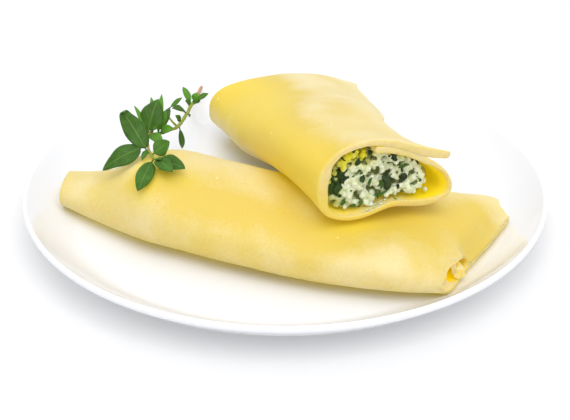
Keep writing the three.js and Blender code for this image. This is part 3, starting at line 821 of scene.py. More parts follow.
# The open near corner of the flat end, from outside inward: how deep each ring lies, the height of its
# top, and its share of the mouth's width.
MOUTH = (
    (-5.0, 8.4, 1.0), (0.0, 8.4, 1.0), (1.2, 8.1, 1.0), (1.9, 7.5, 1.0), (2.5, 6.6, 1.0), (3.2, 6.2, 1.0),
    (5.5, 6.1, 0.96), (8.0, 5.9, 0.88), (10.5, 5.5, 0.7), (11.8, 5.0, 0.5), (12.6, 4.3, 0.25),
    (12.9, 3.9, 0.05),
)
MOUTH_WIDE, MOUTH_AT = 9.4, 12.6  # half its width, and how far its middle is from the near corner

CURL, CURL_GROOVE = 2.35, 0.42  # radius of the curl in the mouth, depth of the line between its turns
CURL_AT, CURL_UP = 13.9, 3.5  # how far the curl's middle is along the flat end and over its near corner
CURL_TURN = -52  # degrees that the curl faces away from the flat end, to the near side
# The curl's outer wall, from the back to the front: depth and radius.
CURL_WALL = ((9.0, 1.9), (6.0, 2.1), (3.0, 2.25), (1.5, CURL), (0.6, CURL), (0.3, CURL - 0.04))
# The sheet that leads down to the curl from the layer above: its middle, and for the rings of its flared
# end the depth, how far they stand out sideways, and how much painted shade and glow they get.
LEAD = ((-2.3, 5.8), (-2.3, 4.3), (-2.15, 2.8), (-1.95, 1.2), (-1.7, 0.2))
LEAD_END = ((0.25, 0.35, 0), (0.3, 0.15, 0), (0.45, 0.04, 0.15), (0.8, 0, 0.5), (2, 0, 0.8), (3, 0, 1))


def whole_end_frame():
    """The near corner of the whole roll's flat end, and unit vectors along the end, up and out of it."""
    s = sizes_at(WHOLE, 1)
    turn = math.radians(s["turn"])
    along = np.array([math.cos(turn), math.sin(turn), 0])
    up = np.array([0.0, 0.0, 1.0])
    corner = np.array([s["x"], s["y"], s["z"] - SHEET / 2]) - along * (s["half"] + SHEET / 2)
    return corner, along, up, np.cross(along, up)


def inset_ring(ring, inset):
    """A flat closed outline drawn in towards the middle line of its own thickness."""
    x, z = ring[:, 0], ring[:, 1]
    right, left = x.argmax(), x.argmin()
    rolled = np.roll(ring, -right, 0)
    turn = (left - right) % len(ring)
    upper, lower = rolled[: turn + 1][::-1], rolled[turn:]
    middle = 0.5 * (np.interp(x, *upper.T) + np.interp(x, *lower.T))
    wide, tall = np.ptp(x) / 2, np.ptp(z) / 2
    centre = x.min() + wide
    drawn_in = [centre + (x - centre) * (1 - inset / wide), middle + (z - middle) * (1 - inset / tall)]
    return np.stack(drawn_in, -1)


def left_end(around):
    """Rings over the small left end of the whole roll, from its middle outward."""
    s = sizes_at(WHOLE, 0)
    foot = np.array([[0.0, 0.0]])
    out = stand(foot, s)[0] - stand(foot, sizes_at(WHOLE, 0.02))[0]
    out /= np.linalg.norm(out)
    rings = []
    for inset, forward in LEFT_END:
        ring = stand(inset_ring(ring_outline(s, SHEET / 2, around), inset), s)
        rings.append(ring + out * (forward - 1.0) + out * 0.25 * noise_at(ring, 3, 4)[:, None])
    return rings[::-1]


def right_end(around):
    """Rings over the flat right end of the whole roll, from its edge inward."""
    s = sizes_at(WHOLE, 1)
    out = whole_end_frame()[3]
    rings = []
    for inset, forward in RIGHT_END:
        ring = stand(inset_ring(ring_outline(s, SHEET / 2, around), inset), s)
        rough = 0.12 * noise_at(ring, 1.6, 5) + 0.18 * noise_at(ring, 5, 6)
        rings.append(ring + out * (forward - 0.7 + rough)[:, None])
    return rings


def whole_body(settings):
    """The whole roll's skin with its two ends, as points, faces and masks."""
    around = 220
    relief = settings.relief / MM
    places = crowded_places(settings.rings, 0.7)
    sizes = [sizes_at(WHOLE, place) for place in places]
    outlines = [ring_outline(s, SHEET / 2, around) for s in sizes]
    across = np.array([outline[:, 0] / s["half"] for outline, s in zip(outlines, sizes)])
    grid = np.array([stand(outline, s) for outline, s in zip(outlines, sizes)])
    normals = grid_normals(grid)
    normals *= np.sign(np.sum(normals * (grid - grid.mean(1, keepdims=True))))
    dents = (
        noise_at(grid, 26, 1) * 1.2 + noise_at(grid, 11, 2) * 0.45 + noise_at(grid, 4.5, 3) * 0.12
    )
    hold = plateau(places, 0, 0.04, 0.96, 1)
    grid = grid + normals * (dents * relief * hold[:, None])[..., None]
    left = left_end(around)
    rows = press_end(np.array([*left, *grid, *right_end(around)]))
    masks = whole_masks(rows, slice(len(left), len(left) + len(grid)), places, across)
    return rows.reshape(-1, 3), tube_faces(len(rows), around), masks


def whole_masks(rows, body, places, across):
    """Masks of the whole roll: painted shade and glow, golden tone with painted shade, and a paler far edge;
    body is the rows between its ends.
    """
    # golden with painted shade in a band along the near side and over the flat right end, pale at the crest
    # and the left end; the noise adds random tone
    flat = smooth(places, 0.6, 0.85)[:, None]
    band = hump(across + 0.62 - 0.6 * flat, 0, 0.34 + 0.2 * flat)
    golden = np.zeros(rows.shape[:2])
    golden[body] = band * smooth(places, 0.1, 0.34)[:, None] * 0.85
    golden += 0.3 * noise_at(rows, 13, 51)
    # paler towards the far edge of the flat end
    far = smooth(across, 0.5, 0.95) * smooth(places, 0.55, 0.75)[:, None]
    floury = np.zeros(rows.shape[:2])
    floury[body] = 0.35 * far
    # painted shade and glow along the underside, round the cut roll lying on it, under the leaves where they
    # cast shadow, and in the left end
    under = 0.85 * (1 - smooth(rows[..., 2], 7.9, 9.6))
    sizes = [sizes_at(CUT, place) for place in np.linspace(0, 0.6, 60)]
    cut_roll = np.array([stand(ring_outline(s, SHEET / 2, 90), s) for s in sizes]).reshape(-1, 3)
    blades = [
        np.array(base) + (np.array(tip) - base) * t
        for base, tip, *_ in LEAVES
        for t in np.linspace(0.2, 1, 9)
    ]
    shaded = np.maximum(shade(rows, cut_roll, 0.85, 0.5, 3.2), shade(rows, blades, 0.6, 2.0, 2.2))
    deep = np.maximum(under, shaded)
    deep[:8] = np.maximum(deep[:8], 0.4)
    return {"deep": deep, "golden": golden, "floury": floury * (1 - deep)}


def press_end(points):
    """Presses the far part of the flat end down and raises a soft lip over its open near corner."""
    corner, along, up, out = whole_end_frame()
    away = points - corner
    on_end, inward, height = away @ along, -(away @ out), away @ up
    near_end = hump(np.maximum(inward, 0), 0, 5)
    lip = 1.0 * hump(on_end, 13, 8) * smooth(height, 3.5, 6.5)
    edge = hump(np.maximum(inward, 0), 0, 2.6) * smooth(on_end, 17, 25)
    droop = (0.78 - 0.35 * smooth(on_end, 46, 58)) * edge * np.maximum(height - 0.4, 0)
    reach = (0.8 - 0.6 * smooth(on_end, 44, 54)) * edge * smooth(height, 0.5, 3)
    floor = 1.6 * hump(on_end, 5, 8) * (1 - smooth(height, 1.8, 5))
    return points + (lip * near_end - droop)[..., None] * up + (floor * near_end + reach)[..., None] * out


def notch_rings():
    """The piece torn out of the far corner of the flat end, with a rough edge, from below to above."""
    corners = np.array(NOTCH)
    steps = np.linspace(0, 1, 24, endpoint=False)
    plan = np.array([a + (b - a) * t for a, b in zip(corners, np.roll(corners, -1, 0)) for t in steps])
    rings = []
    for height in (0.0, 9.0, 10.0, 11.0, 12.0, 13.5, 30.0):
        heights = np.full(len(plan), height)
        spots = np.column_stack([plan, heights])
        ragged = np.stack([noise_at(spots, 1.7, 41), noise_at(spots, 1.7, 42)], -1) * 0.28
        rings.append(np.column_stack([plan + ragged, heights]))
    return rings


def mouth_rings():
    """The open near corner of the flat end: an ellipse that narrows inward."""
    corner, along, up, out = whole_end_frame()
    angles = np.linspace(0, 2 * math.pi, 56, endpoint=False)
    rings = []
    for depth, top, share in MOUTH:
        bottom = 1.1 + 0.1 * max(depth, 0)
        wide, high = MOUTH_WIDE * share, 0.5 * (top - bottom)
        ripple = 1 + 0.05 * np.sin(3 * angles + 0.4 * depth)
        centre = corner + along * (MOUTH_AT + 0.2 * max(depth, 0)) + up * (bottom + high) - out * depth
        across = np.cos(angles) * wide * ripple
        rise = np.sin(angles) * high * ripple - 1.3 * np.cos(angles) * share
        rings.append(centre + across[:, None] * along + rise[:, None] * up)
    return rings


def deepen_mouth(piece):
    """Paints shade and glow inside the mouth, standing in for light through the thin pasta."""
    mesh = piece.data
    spots = np.empty(len(mesh.vertices) * 3)
    mesh.vertices.foreach_get("co", spots)
    spots = spots.reshape(-1, 3) / MM
    corner, along, _, out = whole_end_frame()
    inside_mouth = distances(spots, np.array(mouth_rings()).reshape(-1, 3)) < 0.05
    away = spots - corner
    lit = 1.1 * smooth(-away @ out, 0.2, 1.6) * (1 - 0.6 * smooth(away @ along, 14, 18)) * inside_mouth
    deep = np.empty(len(mesh.vertices))
    mesh.attributes["deep"].data.foreach_get("value", deep)
    mesh.attributes["deep"].data.foreach_set("value", np.maximum(deep, lit))


def curl_rings(angles):
    """The curl's rings as radii, depths and painted shade and glow, from the back of its wall to its middle.
    """
    even = np.ones(len(angles))
    rings = [(even * radius, even * depth, even * 0.5 * smooth(depth, 0.5, 4)) for depth, radius in CURL_WALL]
    winding = (angles - 2.4) % (2 * math.pi) / (2 * math.pi)
    for radius in np.linspace(CURL - 0.1, 0.02, 26):
        # how far this ring is from the line between the turns of the coil
        apart = np.min([np.abs(radius - (CURL - 0.85 * (winding + lap))) for lap in range(3)], axis=0)
        sunk = CURL_GROOVE * hump(apart, 0, 0.17) * smooth(radius, 0.1, 0.5)
        sunk = np.maximum(sunk, 0.7 * hump(radius, 0, 0.4))
        rounded = 0.3 * max(0, (radius - CURL + 0.5) / 0.5) ** 2
        # The third value paints shade in the groove between the turns.
        rings.append((even * radius, rounded + sunk, 0.9 * sunk / CURL_GROOVE))
    return rings


def lead_outline():
    """The end of the sheet that leads to the curl, as a flat closed outline with its outward sides."""
    middle = even_steps(np.array(LEAD), 24)
    half = right_normals(middle) * 0.5
    outline = np.vstack([middle + half, (middle - half)[::-1]])
    return outline, right_normals(np.vstack([outline, outline[:1]]))[:-1]


def curl_piece(settings):
    """The sheet's inner edge, wound into a small curl in the mouth and turned to the near side."""
    corner, along, up, out = whole_end_frame()
    turn = math.radians(CURL_TURN)
    side = along * math.cos(turn) - out * math.sin(turn)
    facing = along * math.sin(turn) + out * math.cos(turn)
    origin = corner + along * CURL_AT + up * CURL_UP + facing * 1.5
    angles = np.linspace(0, 2 * math.pi, 96, endpoint=False)
    rings, shade_and_glow_values = [], []
    for radius, depth, deep in curl_rings(angles):
        right, rise = radius * np.cos(angles), radius * np.sin(angles)
        rings.append(origin + right[:, None] * side + rise[:, None] * up - depth[:, None] * facing)
        shade_and_glow_values.append(deep)
    parts = Parts(("deep", "golden", "floury"))
    parts.add_loft(rings, deep=np.clip(shade_and_glow_values, 0, 1).ravel(), floury=0.15)

    outline, outward = lead_outline()
    rings, shade_and_glow_values = [], []
    for depth, flare, deep in LEAD_END:
        ring = outline + outward * flare
        rings.append(origin + ring[:, :1] * side + ring[:, 1:] * up - facing * depth)
        shade_and_glow_values.append(deep)
    parts.add_loft(rings, deep=np.repeat(shade_and_glow_values, len(outline)), floury=0.15)
    points, faces, masks = parts.arrays()
    points = points + 0.12 * noise_at(points, 2.5, 6)[:, None] * facing
    sharpen_edges(make_piece("rolled_edge", points, faces, [], pasta_material(settings), masks))


class CANNELLONI_OT_whole_roll(bpy.types.Operator):
    """Lays the whole cannelloni on the plate"""

    bl_idname = "cannelloni.whole_roll"
    bl_label = "Whole roll"

    def execute(self, context):
        settings = context.scene.pasta_settings
        points, faces, masks = whole_body(settings)
        material = pasta_material(settings)
        piece = make_piece("whole_cannelloni", points, faces, ["whole_roll"], material, masks)
        cut_away(piece, "notch", notch_rings())
        cut_away(piece, "mouth", mouth_rings())
        deepen_mouth(piece)
        curl_piece(settings)
        return {"FINISHED"}


# ---------------------------------------------------------------- the cut roll

STEPS, EDGE = 190, 5  # points along each face of the sheet, and round each of its two edges
INNER, OUTER = slice(0, STEPS), slice(STEPS + EDGE, 2 * STEPS + EDGE)  # the outer face runs backwards
FLAP_EDGE, FIRST_EDGE = slice(STEPS, STEPS + EDGE), slice(2 * STEPS + EDGE, 2 * STEPS + 2 * EDGE)
ALONG = np.linspace(0, 1, STEPS)  # places along the sheet, from its inner edge to the end of the flap
END_LINES = 6  # rows of points between the two faces on the sheet's end faces

# How much thicker the sheet is squeezed at the cut, or thinner if below 0, and how far its wall is drawn in
# there, both in millimetres, by the place along the sheet from its inner edge (0) to the flap's end (1).
SQUEEZED = (
    (0.13, 0), (0.16, -0.7), (0.19, -1.2), (0.22, -1.2), (0.255, -0.9), (0.286, -0.2), (0.32, 0.1),
    (0.38, -0.2), (0.41, -0.6), (0.444, -0.8), (0.508, -0.8), (0.54, -0.2), (0.57, 1.1), (0.6, 1.6),
    (0.64, 2.4), (0.67, 1.1), (0.7, 0.3), (0.73, 0), (0.83, 0), (0.88, 0.9), (0.93, 1.5), (0.97, 1.2),
    (1, 0.5),
)
DRAWN_IN = ((0.57, 0), (0.6, 0.3), (0.64, 1.9), (0.67, 2.5), (0.7, 2.1), (0.73, 0.9), (0.76, 0.3), (0.79, 0))


def sheet_ring(s):
    """The sheet's two faces and rounded edges in one section, as one closed outline."""
    middle = sheet_middle(s, STEPS)
    side = right_normals(middle)
    run = np.stack([-side[:, 1], side[:, 0]], -1)
    half = SHEET / 2
    angles = np.radians([60, 30, 0, -30, -60])[:, None]
    end = middle[-1] + side[-1] * half * np.sin(angles) + run[-1] * half * 0.7 * np.cos(angles)
    start = middle[0] - side[0] * half * np.sin(angles) - run[0] * half * 0.7 * np.cos(angles)
    return np.vstack([middle + side * half, end, (middle - side * half)[::-1], start])


def sheet_grid(settings):
    """The rolled sheet's sections along the cut roll, and the way outward from the sheet's middle."""
    relief = settings.relief / MM
    rings = []
    for place in crowded_places(settings.rings, 0.6):
        s = sizes_at(CUT, place)
        wavy = noise.noise(Vector((place * 22, 3.1, 0)))
        ragged = noise.noise(Vector((place * 70, 7.7, 0)))
        s["flap"] += 0.9 * wavy + 0.5 * ragged
        rings.append(stand(sheet_ring(s), s))
    grid = np.array(rings)
    middles = 0.5 * (grid[:, INNER] + grid[:, OUTER][:, ::-1])
    outward = grid[:, OUTER][:, ::-1] - middles
    outward /= np.linalg.norm(outward, axis=-1)[..., None]
    dents = (
        noise_at(middles, 24, 11) * 1.1 + noise_at(middles, 10, 12) * 0.5 + noise_at(middles, 4, 13) * 0.12
    )
    shift = outward * (dents * relief)[..., None]
    grid[:, INNER] += shift
    grid[:, OUTER] += shift[:, ::-1]
    grid[:, FLAP_EDGE] += shift[:, -1:]
    grid[:, FIRST_EDGE] += shift[:, :1]
    return grid, outward


def squeeze_cut(grid, outward, run):
    """Squeezes the sheet and draws its wall in towards the cut; run is how far each section is from it."""
    wavy = noise_at(np.stack([ALONG * 40, 0 * ALONG, 0 * ALONG], -1), 3, 17)
    squeezed = np.interp(ALONG, *zip(*SQUEEZED)) + 0.2 * wavy * smooth(ALONG, 0.1, 0.3)
    near_cut = hump(run, 0, 2.6)[:, None]
    drawn_in = hump(run, 0, 9)[:, None] * np.interp(ALONG, *zip(*DRAWN_IN))
    grid[:, INNER] -= outward * (near_cut * squeezed + drawn_in)[..., None]
    grid[:, OUTER] -= (outward * drawn_in[..., None])[:, ::-1]
    share = np.array([0.95, 0.8, 0.5, 0.2, 0.05])
    grid[:, FLAP_EDGE] -= outward[:, -1:] * (near_cut * squeezed[-1] * share)[..., None]


def sheet_end(grid, row, base, crown):
    """The rough, crowned end face of the sheet at a row of the grid: points numbered from base, and faces."""
    out = grid[row].mean(0) - grid[row + (6 if row == 0 else -6)].mean(0)
    out /= np.linalg.norm(out)
    one, other = grid[row, INNER], grid[row, OUTER][::-1]
    lines = []
    for k in range(1, END_LINES + 1):
        t = k / (END_LINES + 1)
        line = one * (1 - t) + other * t
        rough = 0.22 * noise_at(line, 1.4, 21) + 0.2 * noise_at(line, 4, 22)
        proud = crown * (1 - (2 * t - 1) ** 4) + rough
        lines.append(line + out * proud[:, None])
    start = row * grid.shape[1]
    ladder = [[start + i for i in range(STEPS)]]
    ladder += [[base + k * STEPS + i for i in range(STEPS)] for k in range(END_LINES)]
    ladder.append([start + OUTER.stop - 1 - i for i in range(STEPS)])
    faces = []
    for a, b in zip(ladder, ladder[1:]):
        faces += [(a[i], a[i + 1], b[i + 1], b[i]) for i in range(STEPS - 1)]
    flap_edge = [start + FLAP_EDGE.start + i for i in range(EDGE)]
    first_edge = [start + FIRST_EDGE.start + i for i in range(EDGE)]
    faces.append(tuple([rung[-1] for rung in ladder][::-1] + flap_edge))
    faces.append(tuple([rung[0] for rung in ladder] + first_edge))
    return np.vstack(lines), faces


def sheet_masks(grid, run):
    """Masks of the cut roll's skin and its two end faces: painted shade and glow, golden tone with painted
    shade, and flour with painted highlight.
    """
    rim = hump(run, 0, 0.9)[:, None]
    # painted shade and glow inside, underneath and down the left side, less on the floor and in the left
    # corner near the cut
    floor, corner = plateau(ALONG, 0.3, 0.36, 0.44, 0.5), plateau(ALONG, 0.44, 0.5, 0.56, 0.62)
    deep = np.zeros(grid.shape[:2])
    deep[:, INNER] = 0.95 - (0.7 * floor + 0.3 * corner) * hump(run, 0, 9)[:, None]
    deep[:, OUTER] = (1 - smooth(ALONG, 0.1, 0.14))[::-1]
    under = 1 - smooth(grid[..., 2], 8, 12)
    deep = np.maximum(deep, under * 0.7) * (1 - 0.8 * rim)
    left = 0.3 * plateau(ALONG, 0.5, 0.58, 0.66, 0.76)[::-1]
    deep[:, OUTER] = np.maximum(deep[:, OUTER], left)
    # painted shade, golden, down the left side away from the light; painted highlight, pale, over the top
    # right and along the flap; a little flour on the cut rim
    golden = np.zeros_like(deep)
    golden[:, OUTER] = 0.9 * plateau(ALONG, 0.52, 0.6, 0.7, 0.8)[::-1]
    golden += 0.3 * noise_at(grid, 12, 52)
    floury = np.zeros_like(deep)
    floury[:, OUTER] = 0.3 * smooth(ALONG, 0.84, 0.97)[::-1]
    floury[:, FLAP_EDGE] = 0.3
    floury = np.maximum(floury * (1 - deep), 0.1 * rim)
    # the end faces get painted shade, more golden, low on the left
    low_left = 0.6 * plateau(ALONG, 0.32, 0.44, 0.54, 0.66)
    lines = 2 * END_LINES
    return {
        "deep": np.concatenate([deep.ravel(), np.tile(0.35 * low_left, lines)]),
        "golden": np.concatenate([golden.ravel(), np.tile(0.25 + low_left, lines)]),
        "floury": np.concatenate([floury.ravel(), np.full(lines * STEPS, 0.06)]),
    }


class CANNELLONI_OT_cut_roll(bpy.types.Operator):
    """Rolls the sheet of the cut cannelloni"""

    bl_idname = "cannelloni.cut_roll"
    bl_label = "Cut roll"

    def execute(self, context):
        settings = context.scene.pasta_settings
        grid, outward = sheet_grid(settings)
        steps = np.linalg.norm(np.diff(grid[:, STEPS // 2], axis=0), axis=1)
        run = np.concatenate([[0], np.cumsum(steps)])
        squeeze_cut(grid, outward, run)
        skin = grid.reshape(-1, 3)
        front, front_faces = sheet_end(grid, 0, len(skin), 0.35)
        back, back_faces = sheet_end(grid, len(grid) - 1, len(skin) + len(front), 0.3)
        points = np.vstack([skin, front, back])
        faces = grid_faces(*grid.shape[:2]) + front_faces + back_faces
        material, masks = pasta_material(settings), sheet_masks(grid, run)
        make_piece("cut_cannelloni", points, faces, ["cut_roll_sheet"], material, masks)
        return {"FINISHED"}


# ---------------------------------------------------------------- the filling

NEAR_END, FAR_END = 0.012, 0.975  # where the filling's two ends are along the cut roll
CUT_LENGTH = 120  # about how long the cut roll is, in millimetres

# Where the larger curds lie on the cut face, in millimetres from the section's foot: across, up, size, and
# how far their fronts stand out.
FRONT_CURDS = (
    (-12, 13.3, 3.1, 0.6), (-14.3, 9, 3.1, 0.7), (-11.7, 18.4, 1.9, 0), (-6.9, 17.2, 2, 0.2),
    (-4.1, 19.4, 2, 0.1), (-1.7, 18.9, 1.7, 0), (-8.9, 18.9, 1.5, 0.1), (-4.8, 13.2, 1.7, 0),
    (-3.4, 11.2, 2, 0.1), (-7.3, 7.9, 2, 0.2), (-5, 5.9, 2, 0.5), (-7, 4.2, 1.6, 0.6),
    (-5.4, 2.7, 1, 0.9), (-15.6, 4.4, 0.8, 0.6), (2.1, 6.8, 1.5, 0.7), (4.2, 7.8, 0.8, 0.8),
    (0.6, 5.8, 0.9, 0.7), (9, 6.6, 2.7, 0.5), (11.6, 5.6, 1.9, 0.4), (6.6, 8.2, 1.2, 0.2),
    (13.8, 7, 1.6, 0.3), (14.2, 8.2, 1.1, 0.2), (11.6, 10.2, 2, 0.1), (13.2, 11.3, 1.4, 0),
    (10.4, 14.9, 1.5, 0), (13.4, 13.1, 1.1, -0.2), (7.2, 19, 1.7, 0.1), (4.8, 18.3, 1, 0),
    (11.4, 16.4, 1.3, -0.2), (4.9, 11.1, 1.3, -0.6), (4.2, 12.4, 0.9, -0.5),
    (-1.4, 21.7, 1.3, -0.5), (-3.1, 23, 1.1, -0.6), (-13.6, 23, 2.2, -0.9), (-15, 20.8, 1.4, -0.8),
    (-10.9, 24, 1.9, -1.0), (-7.5, 23.8, 1.6, -0.9), (-10, 10.6, 1.7, 0.3), (-13, 6.2, 1.7, 0.3),
    (-10.9, 5.2, 1.4, 0.2), (3.1, 15.5, 1.3, -0.9), (1.2, 17, 1.6, -1.0), (-0.3, 15.3, 1.2, -0.7),
    (-9.4, 15.3, 1, -0.2), (9.4, 9.1, 1.3, -0.3), (9, 12.3, 1, -0.6), (5.5, 15, 1.2, -0.7),
    (-2, 8.8, 1.2, -0.3), (-9, 12.6, 1.2, -0.2), (8.6, 16.8, 1.2, -0.4), (-16.4, 10.4, 0.9, -0.2),
    (-3.4, 17, 1.2, -1.2), (1.7, 15.9, 1.2, -1.4), (5.9, 6.6, 1, -0.4), (-17.8, 7.6, 0.8, -0.9),
    (9, 14.4, 0.9, -0.8),
)
# Pieces of spinach on the cut face: across, up, width, height, turn in degrees, how far forward, freshness.
FRONT_SPINACH = (
    (-10.6, 25.9, 2, 1, 15, -1.4, 0.1), (-5.1, 24, 1, 1, 0, -0.9, 0),
    (-5.8, 26, 0.4, 1, 45, -1.1, 0), (-4.7, 22, 0.5, 0.8, 10, -0.6, 0),
    (-10.1, 21.4, 0.9, 1.6, 5, -0.4, 0.1), (-15.8, 23.6, 0.4, 1.4, 50, -1.2, 0),
    (-16.2, 14.6, 2.2, 4.6, -20, -2.0, 0.25), (-17.3, 11.4, 1.7, 3, -8, -1.4, 0.1),
    (-15.4, 17.2, 1.8, 2.2, 25, -1.6, 0.15), (-18.6, 12.6, 1.4, 4.4, -12, -2.4, 0.3),
    (-17.8, 16.4, 1.3, 2.6, -35, -2.4, 0.3), (-14.9, 15.2, 1.6, 2, 60, -1.2, 0),
    (-16.6, 9, 1.4, 1.6, 20, -1.2, 0.2), (-8.5, 14.3, 0.9, 1.7, 0, 0, 0.1),
    (-9.1, 17, 0.7, 0.6, 0, 0.3, 0.5), (0.8, 11.6, 2, 3.1, 10, 0.5, 0),
    (-1.5, 11.1, 0.8, 1.4, 5, 0.7, 0.4), (-5.9, 13.2, 0.55, 2.1, -20, 0.5, 0.4),
    (3.1, 21.2, 2, 0.8, -15, -0.2, 0.05), (3.8, 19.9, 1.4, 0.7, -20, -0.2, 0),
    (6.9, 16.8, 1.9, 0.75, 5, 0.4, 0.35), (12.1, 16.9, 1.8, 0.8, -35, -1, 0.05),
    (7.6, 12, 1.4, 1.3, 0, -0.3, 0), (6.7, 10.3, 1, 0.9, 0, -0.4, 0),
    (5.2, 8.5, 0.5, 1.2, 0, -0.2, 0), (-1.2, 7.3, 2, 0.8, 30, 0.5, 0.6),
    (-3.1, 7, 1.3, 1.1, 0, 0.4, 0.5), (-9.4, 5.4, 1, 0.7, 30, 0.6, 0.6),
    (-10.7, 7.9, 0.5, 0.3, -20, 0.5, 0.4), (-16, 6.9, 0.8, 1.4, -20, 0.2, 0.55),
    (-12.6, 4.4, 1.8, 0.5, -5, 0.1, 0.4), (-10.1, 3.7, 1, 0.4, 10, 0.2, 0.5),
    (3.6, 4.4, 0.9, 0.25, -45, 1, 1), (12.6, 12.6, 0.3, 0.5, 0, 0.3, 0.9),
    (13.2, 10.2, 0.4, 0.3, 0, 0.4, 0.9), (14, 9.1, 0.5, 0.7, 0, -0.1, 0.3),
    (-3.5, 8.8, 0.6, 0.5, 0, 0.3, 0.5), (11, 8.4, 0.7, 0.3, -20, 0.3, 0.5),
    (-13.4, 11.1, 0.5, 0.3, -30, 0.9, 0.7), (-6.5, 10.4, 0.5, 0.3, 20, 0.7, 0.6),
    (9.8, 13.4, 0.4, 0.3, 0, 0.2, 0.6), (-0.6, 19.9, 0.5, 0.25, 30, 0.3, 0.6),
    (-12, 16.4, 0.5, 0.4, 10, 0.2, 0.5), (2.2, 13.9, 0.6, 0.4, 30, 0.1, 0.3),
)


def face_frame(place):
    """The foot of a section, with unit vectors across it, up, and out of that end of the roll."""
    s = sizes_at(CUT, place)
    flat = np.array([[0.0, 0.0], [1.0, 0.0], [0.0, 1.0]])
    foot, right, top = stand(flat, s)
    across, up = right - foot, top - foot
    out = np.cross(across, up)
    return foot, across, up, out if place < 0.5 else -out


def clear_outline(place, clearance, reach):
    """The room inside the sheet's first turn at a place, cut off on the right at a share of its width."""
    s = sizes_at(CUT, place)
    outline = ring_outline(s, room_distance(clearance), 96)
    outline[:, 0] = np.minimum(outline[:, 0], s["half"] * reach)
    return outline


def inside(spot, outline):
    """Whether a spot lies within a closed outline."""
    x, z = outline.T
    next_x, next_z = np.roll(outline, -1, 0).T
    crosses = (z > spot[1]) != (next_z > spot[1])
    with np.errstate(divide="ignore", invalid="ignore"):
        at = (next_x - x) * (spot[1] - z) / (next_z - z) + x
    return bool(np.count_nonzero(crosses & (spot[0] < at)) % 2)


def curd_cluster(parts, shape, draw, centre, size, face, smallest):
    """One curd, as a clump of small round grains."""
    foot, across, up, out = face
    points, faces = shape
    for _ in range(max(4, int(5 * size))):
        away = np.array([draw.gauss(0, 1) for _ in range(3)])
        away *= size * 0.62 * draw.random() ** 0.4 / np.linalg.norm(away)
        radius = max(smallest, size * draw.uniform(0.28, 0.55))
        scale = radius * np.array([draw.uniform(0.8, 1.2) for _ in range(3)])
        x, z, proud = np.array(centre) + away * (1, 1, 0.8)
        parts.add(points * scale + (foot + across * x + up * z + out * proud), faces)


def fused(name, parts, voxel):
    """Fuses many overlapping forms into one skin and returns its points and faces, in millimetres."""
    points, faces, _ = parts.arrays()
    mesh = bpy.data.meshes.new(name)
    mesh.from_pydata(points.tolist(), [], faces)
    lump = bpy.data.objects.new(name, mesh)
    bpy.context.scene.collection.objects.link(lump)
    remesh = lump.modifiers.new("fuse", "REMESH")
    remesh.mode, remesh.voxel_size = "VOXEL", voxel
    bpy.context.view_layer.update()
    shaped = lump.evaluated_get(bpy.context.evaluated_depsgraph_get()).to_mesh()
    count = len(shaped.vertices)
    flat = np.empty(count * 3)
    shaped.vertices.foreach_get("co", flat)
    result = flat.reshape(-1, 3), [tuple(p.vertices) for p in shaped.polygons]
    bpy.data.objects.remove(lump)
    bpy.data.meshes.remove(mesh)
    return result


def clamp_to_room(points, place, clearance):
    """Pulls points that would pass through the sheet back into the room inside it."""
    foot, across, up, out = face_frame(place)
    step = 0.02 if place < 0.5 else -0.02
    shift = face_frame(place + step)[0] - foot
    travel = (points - foot) @ out / (shift @ out)
    centre = foot + travel[:, None] * shift
    flat = np.stack([(points - centre) @ across, (points - centre) @ up], -1)
    s = sizes_at(CUT, place)
    outline = ring_outline(s, room_distance(clearance), 240)
    middle = np.array([0.0, s["crown"] * 0.45])
    bearing = np.arctan2(*(outline - middle).T[::-1])
    order = np.argsort(bearing)
    reach = np.hypot(*(outline - middle).T)[order]
    bearing = bearing[order]
    away = flat - middle
    length = np.maximum(np.hypot(*away.T), 1e-6)
    limit = np.interp(np.arctan2(away[:, 1], away[:, 0]), bearing, reach, period=2 * math.pi)
    kept = middle + away * np.minimum(1, limit / length)[:, None]
    return points + (kept - flat)[:, :1] * across + (kept - flat)[:, 1:] * up, flat


def filling_plug(place, reach):
    """Rings that fill the room behind the curds of one end."""
    step = 1 if place < 0.5 else -1
    rings = []
    for travel in (5.4, 8.0, 11.0, 14.0):
        at = place + step * travel / CUT_LENGTH
        rings.append(stand(clear_outline(at, 0.5, reach), sizes_at(CUT, at)))
    return rings


def filling_masks(points, flat, depth, crown, seed, back):
    """Where the cheese is oily, at the top left, and green: a green stain with painted shade in the hollows
    between the curds, and on the left.
    """
    # Painted shade: the deeper hollows between the curds turn the darker green.
    hollow = smooth(depth + 0.5 * noise_at(points, 1.6, seed + 6), 2.2, 4.6)
    across, up = flat.T
    edge = smooth(up - 0.55 * np.minimum(across + 12, 0), crown * 0.64, crown * 0.84)
    top_left = edge * (1 - smooth(across, -7, 1))
    left = (1 - smooth(across, -17.5, -15)) * (1 - back)
    oily = np.clip(top_left + 0.5 * left + back * 0.2 + 0.3 * noise_at(points, 4, seed + 5), 0, 1)
    green = np.clip(hollow * (1 - 0.5 * top_left) + 0.5 * left, 0, 1)
    return {"oily": oily, "green": green}


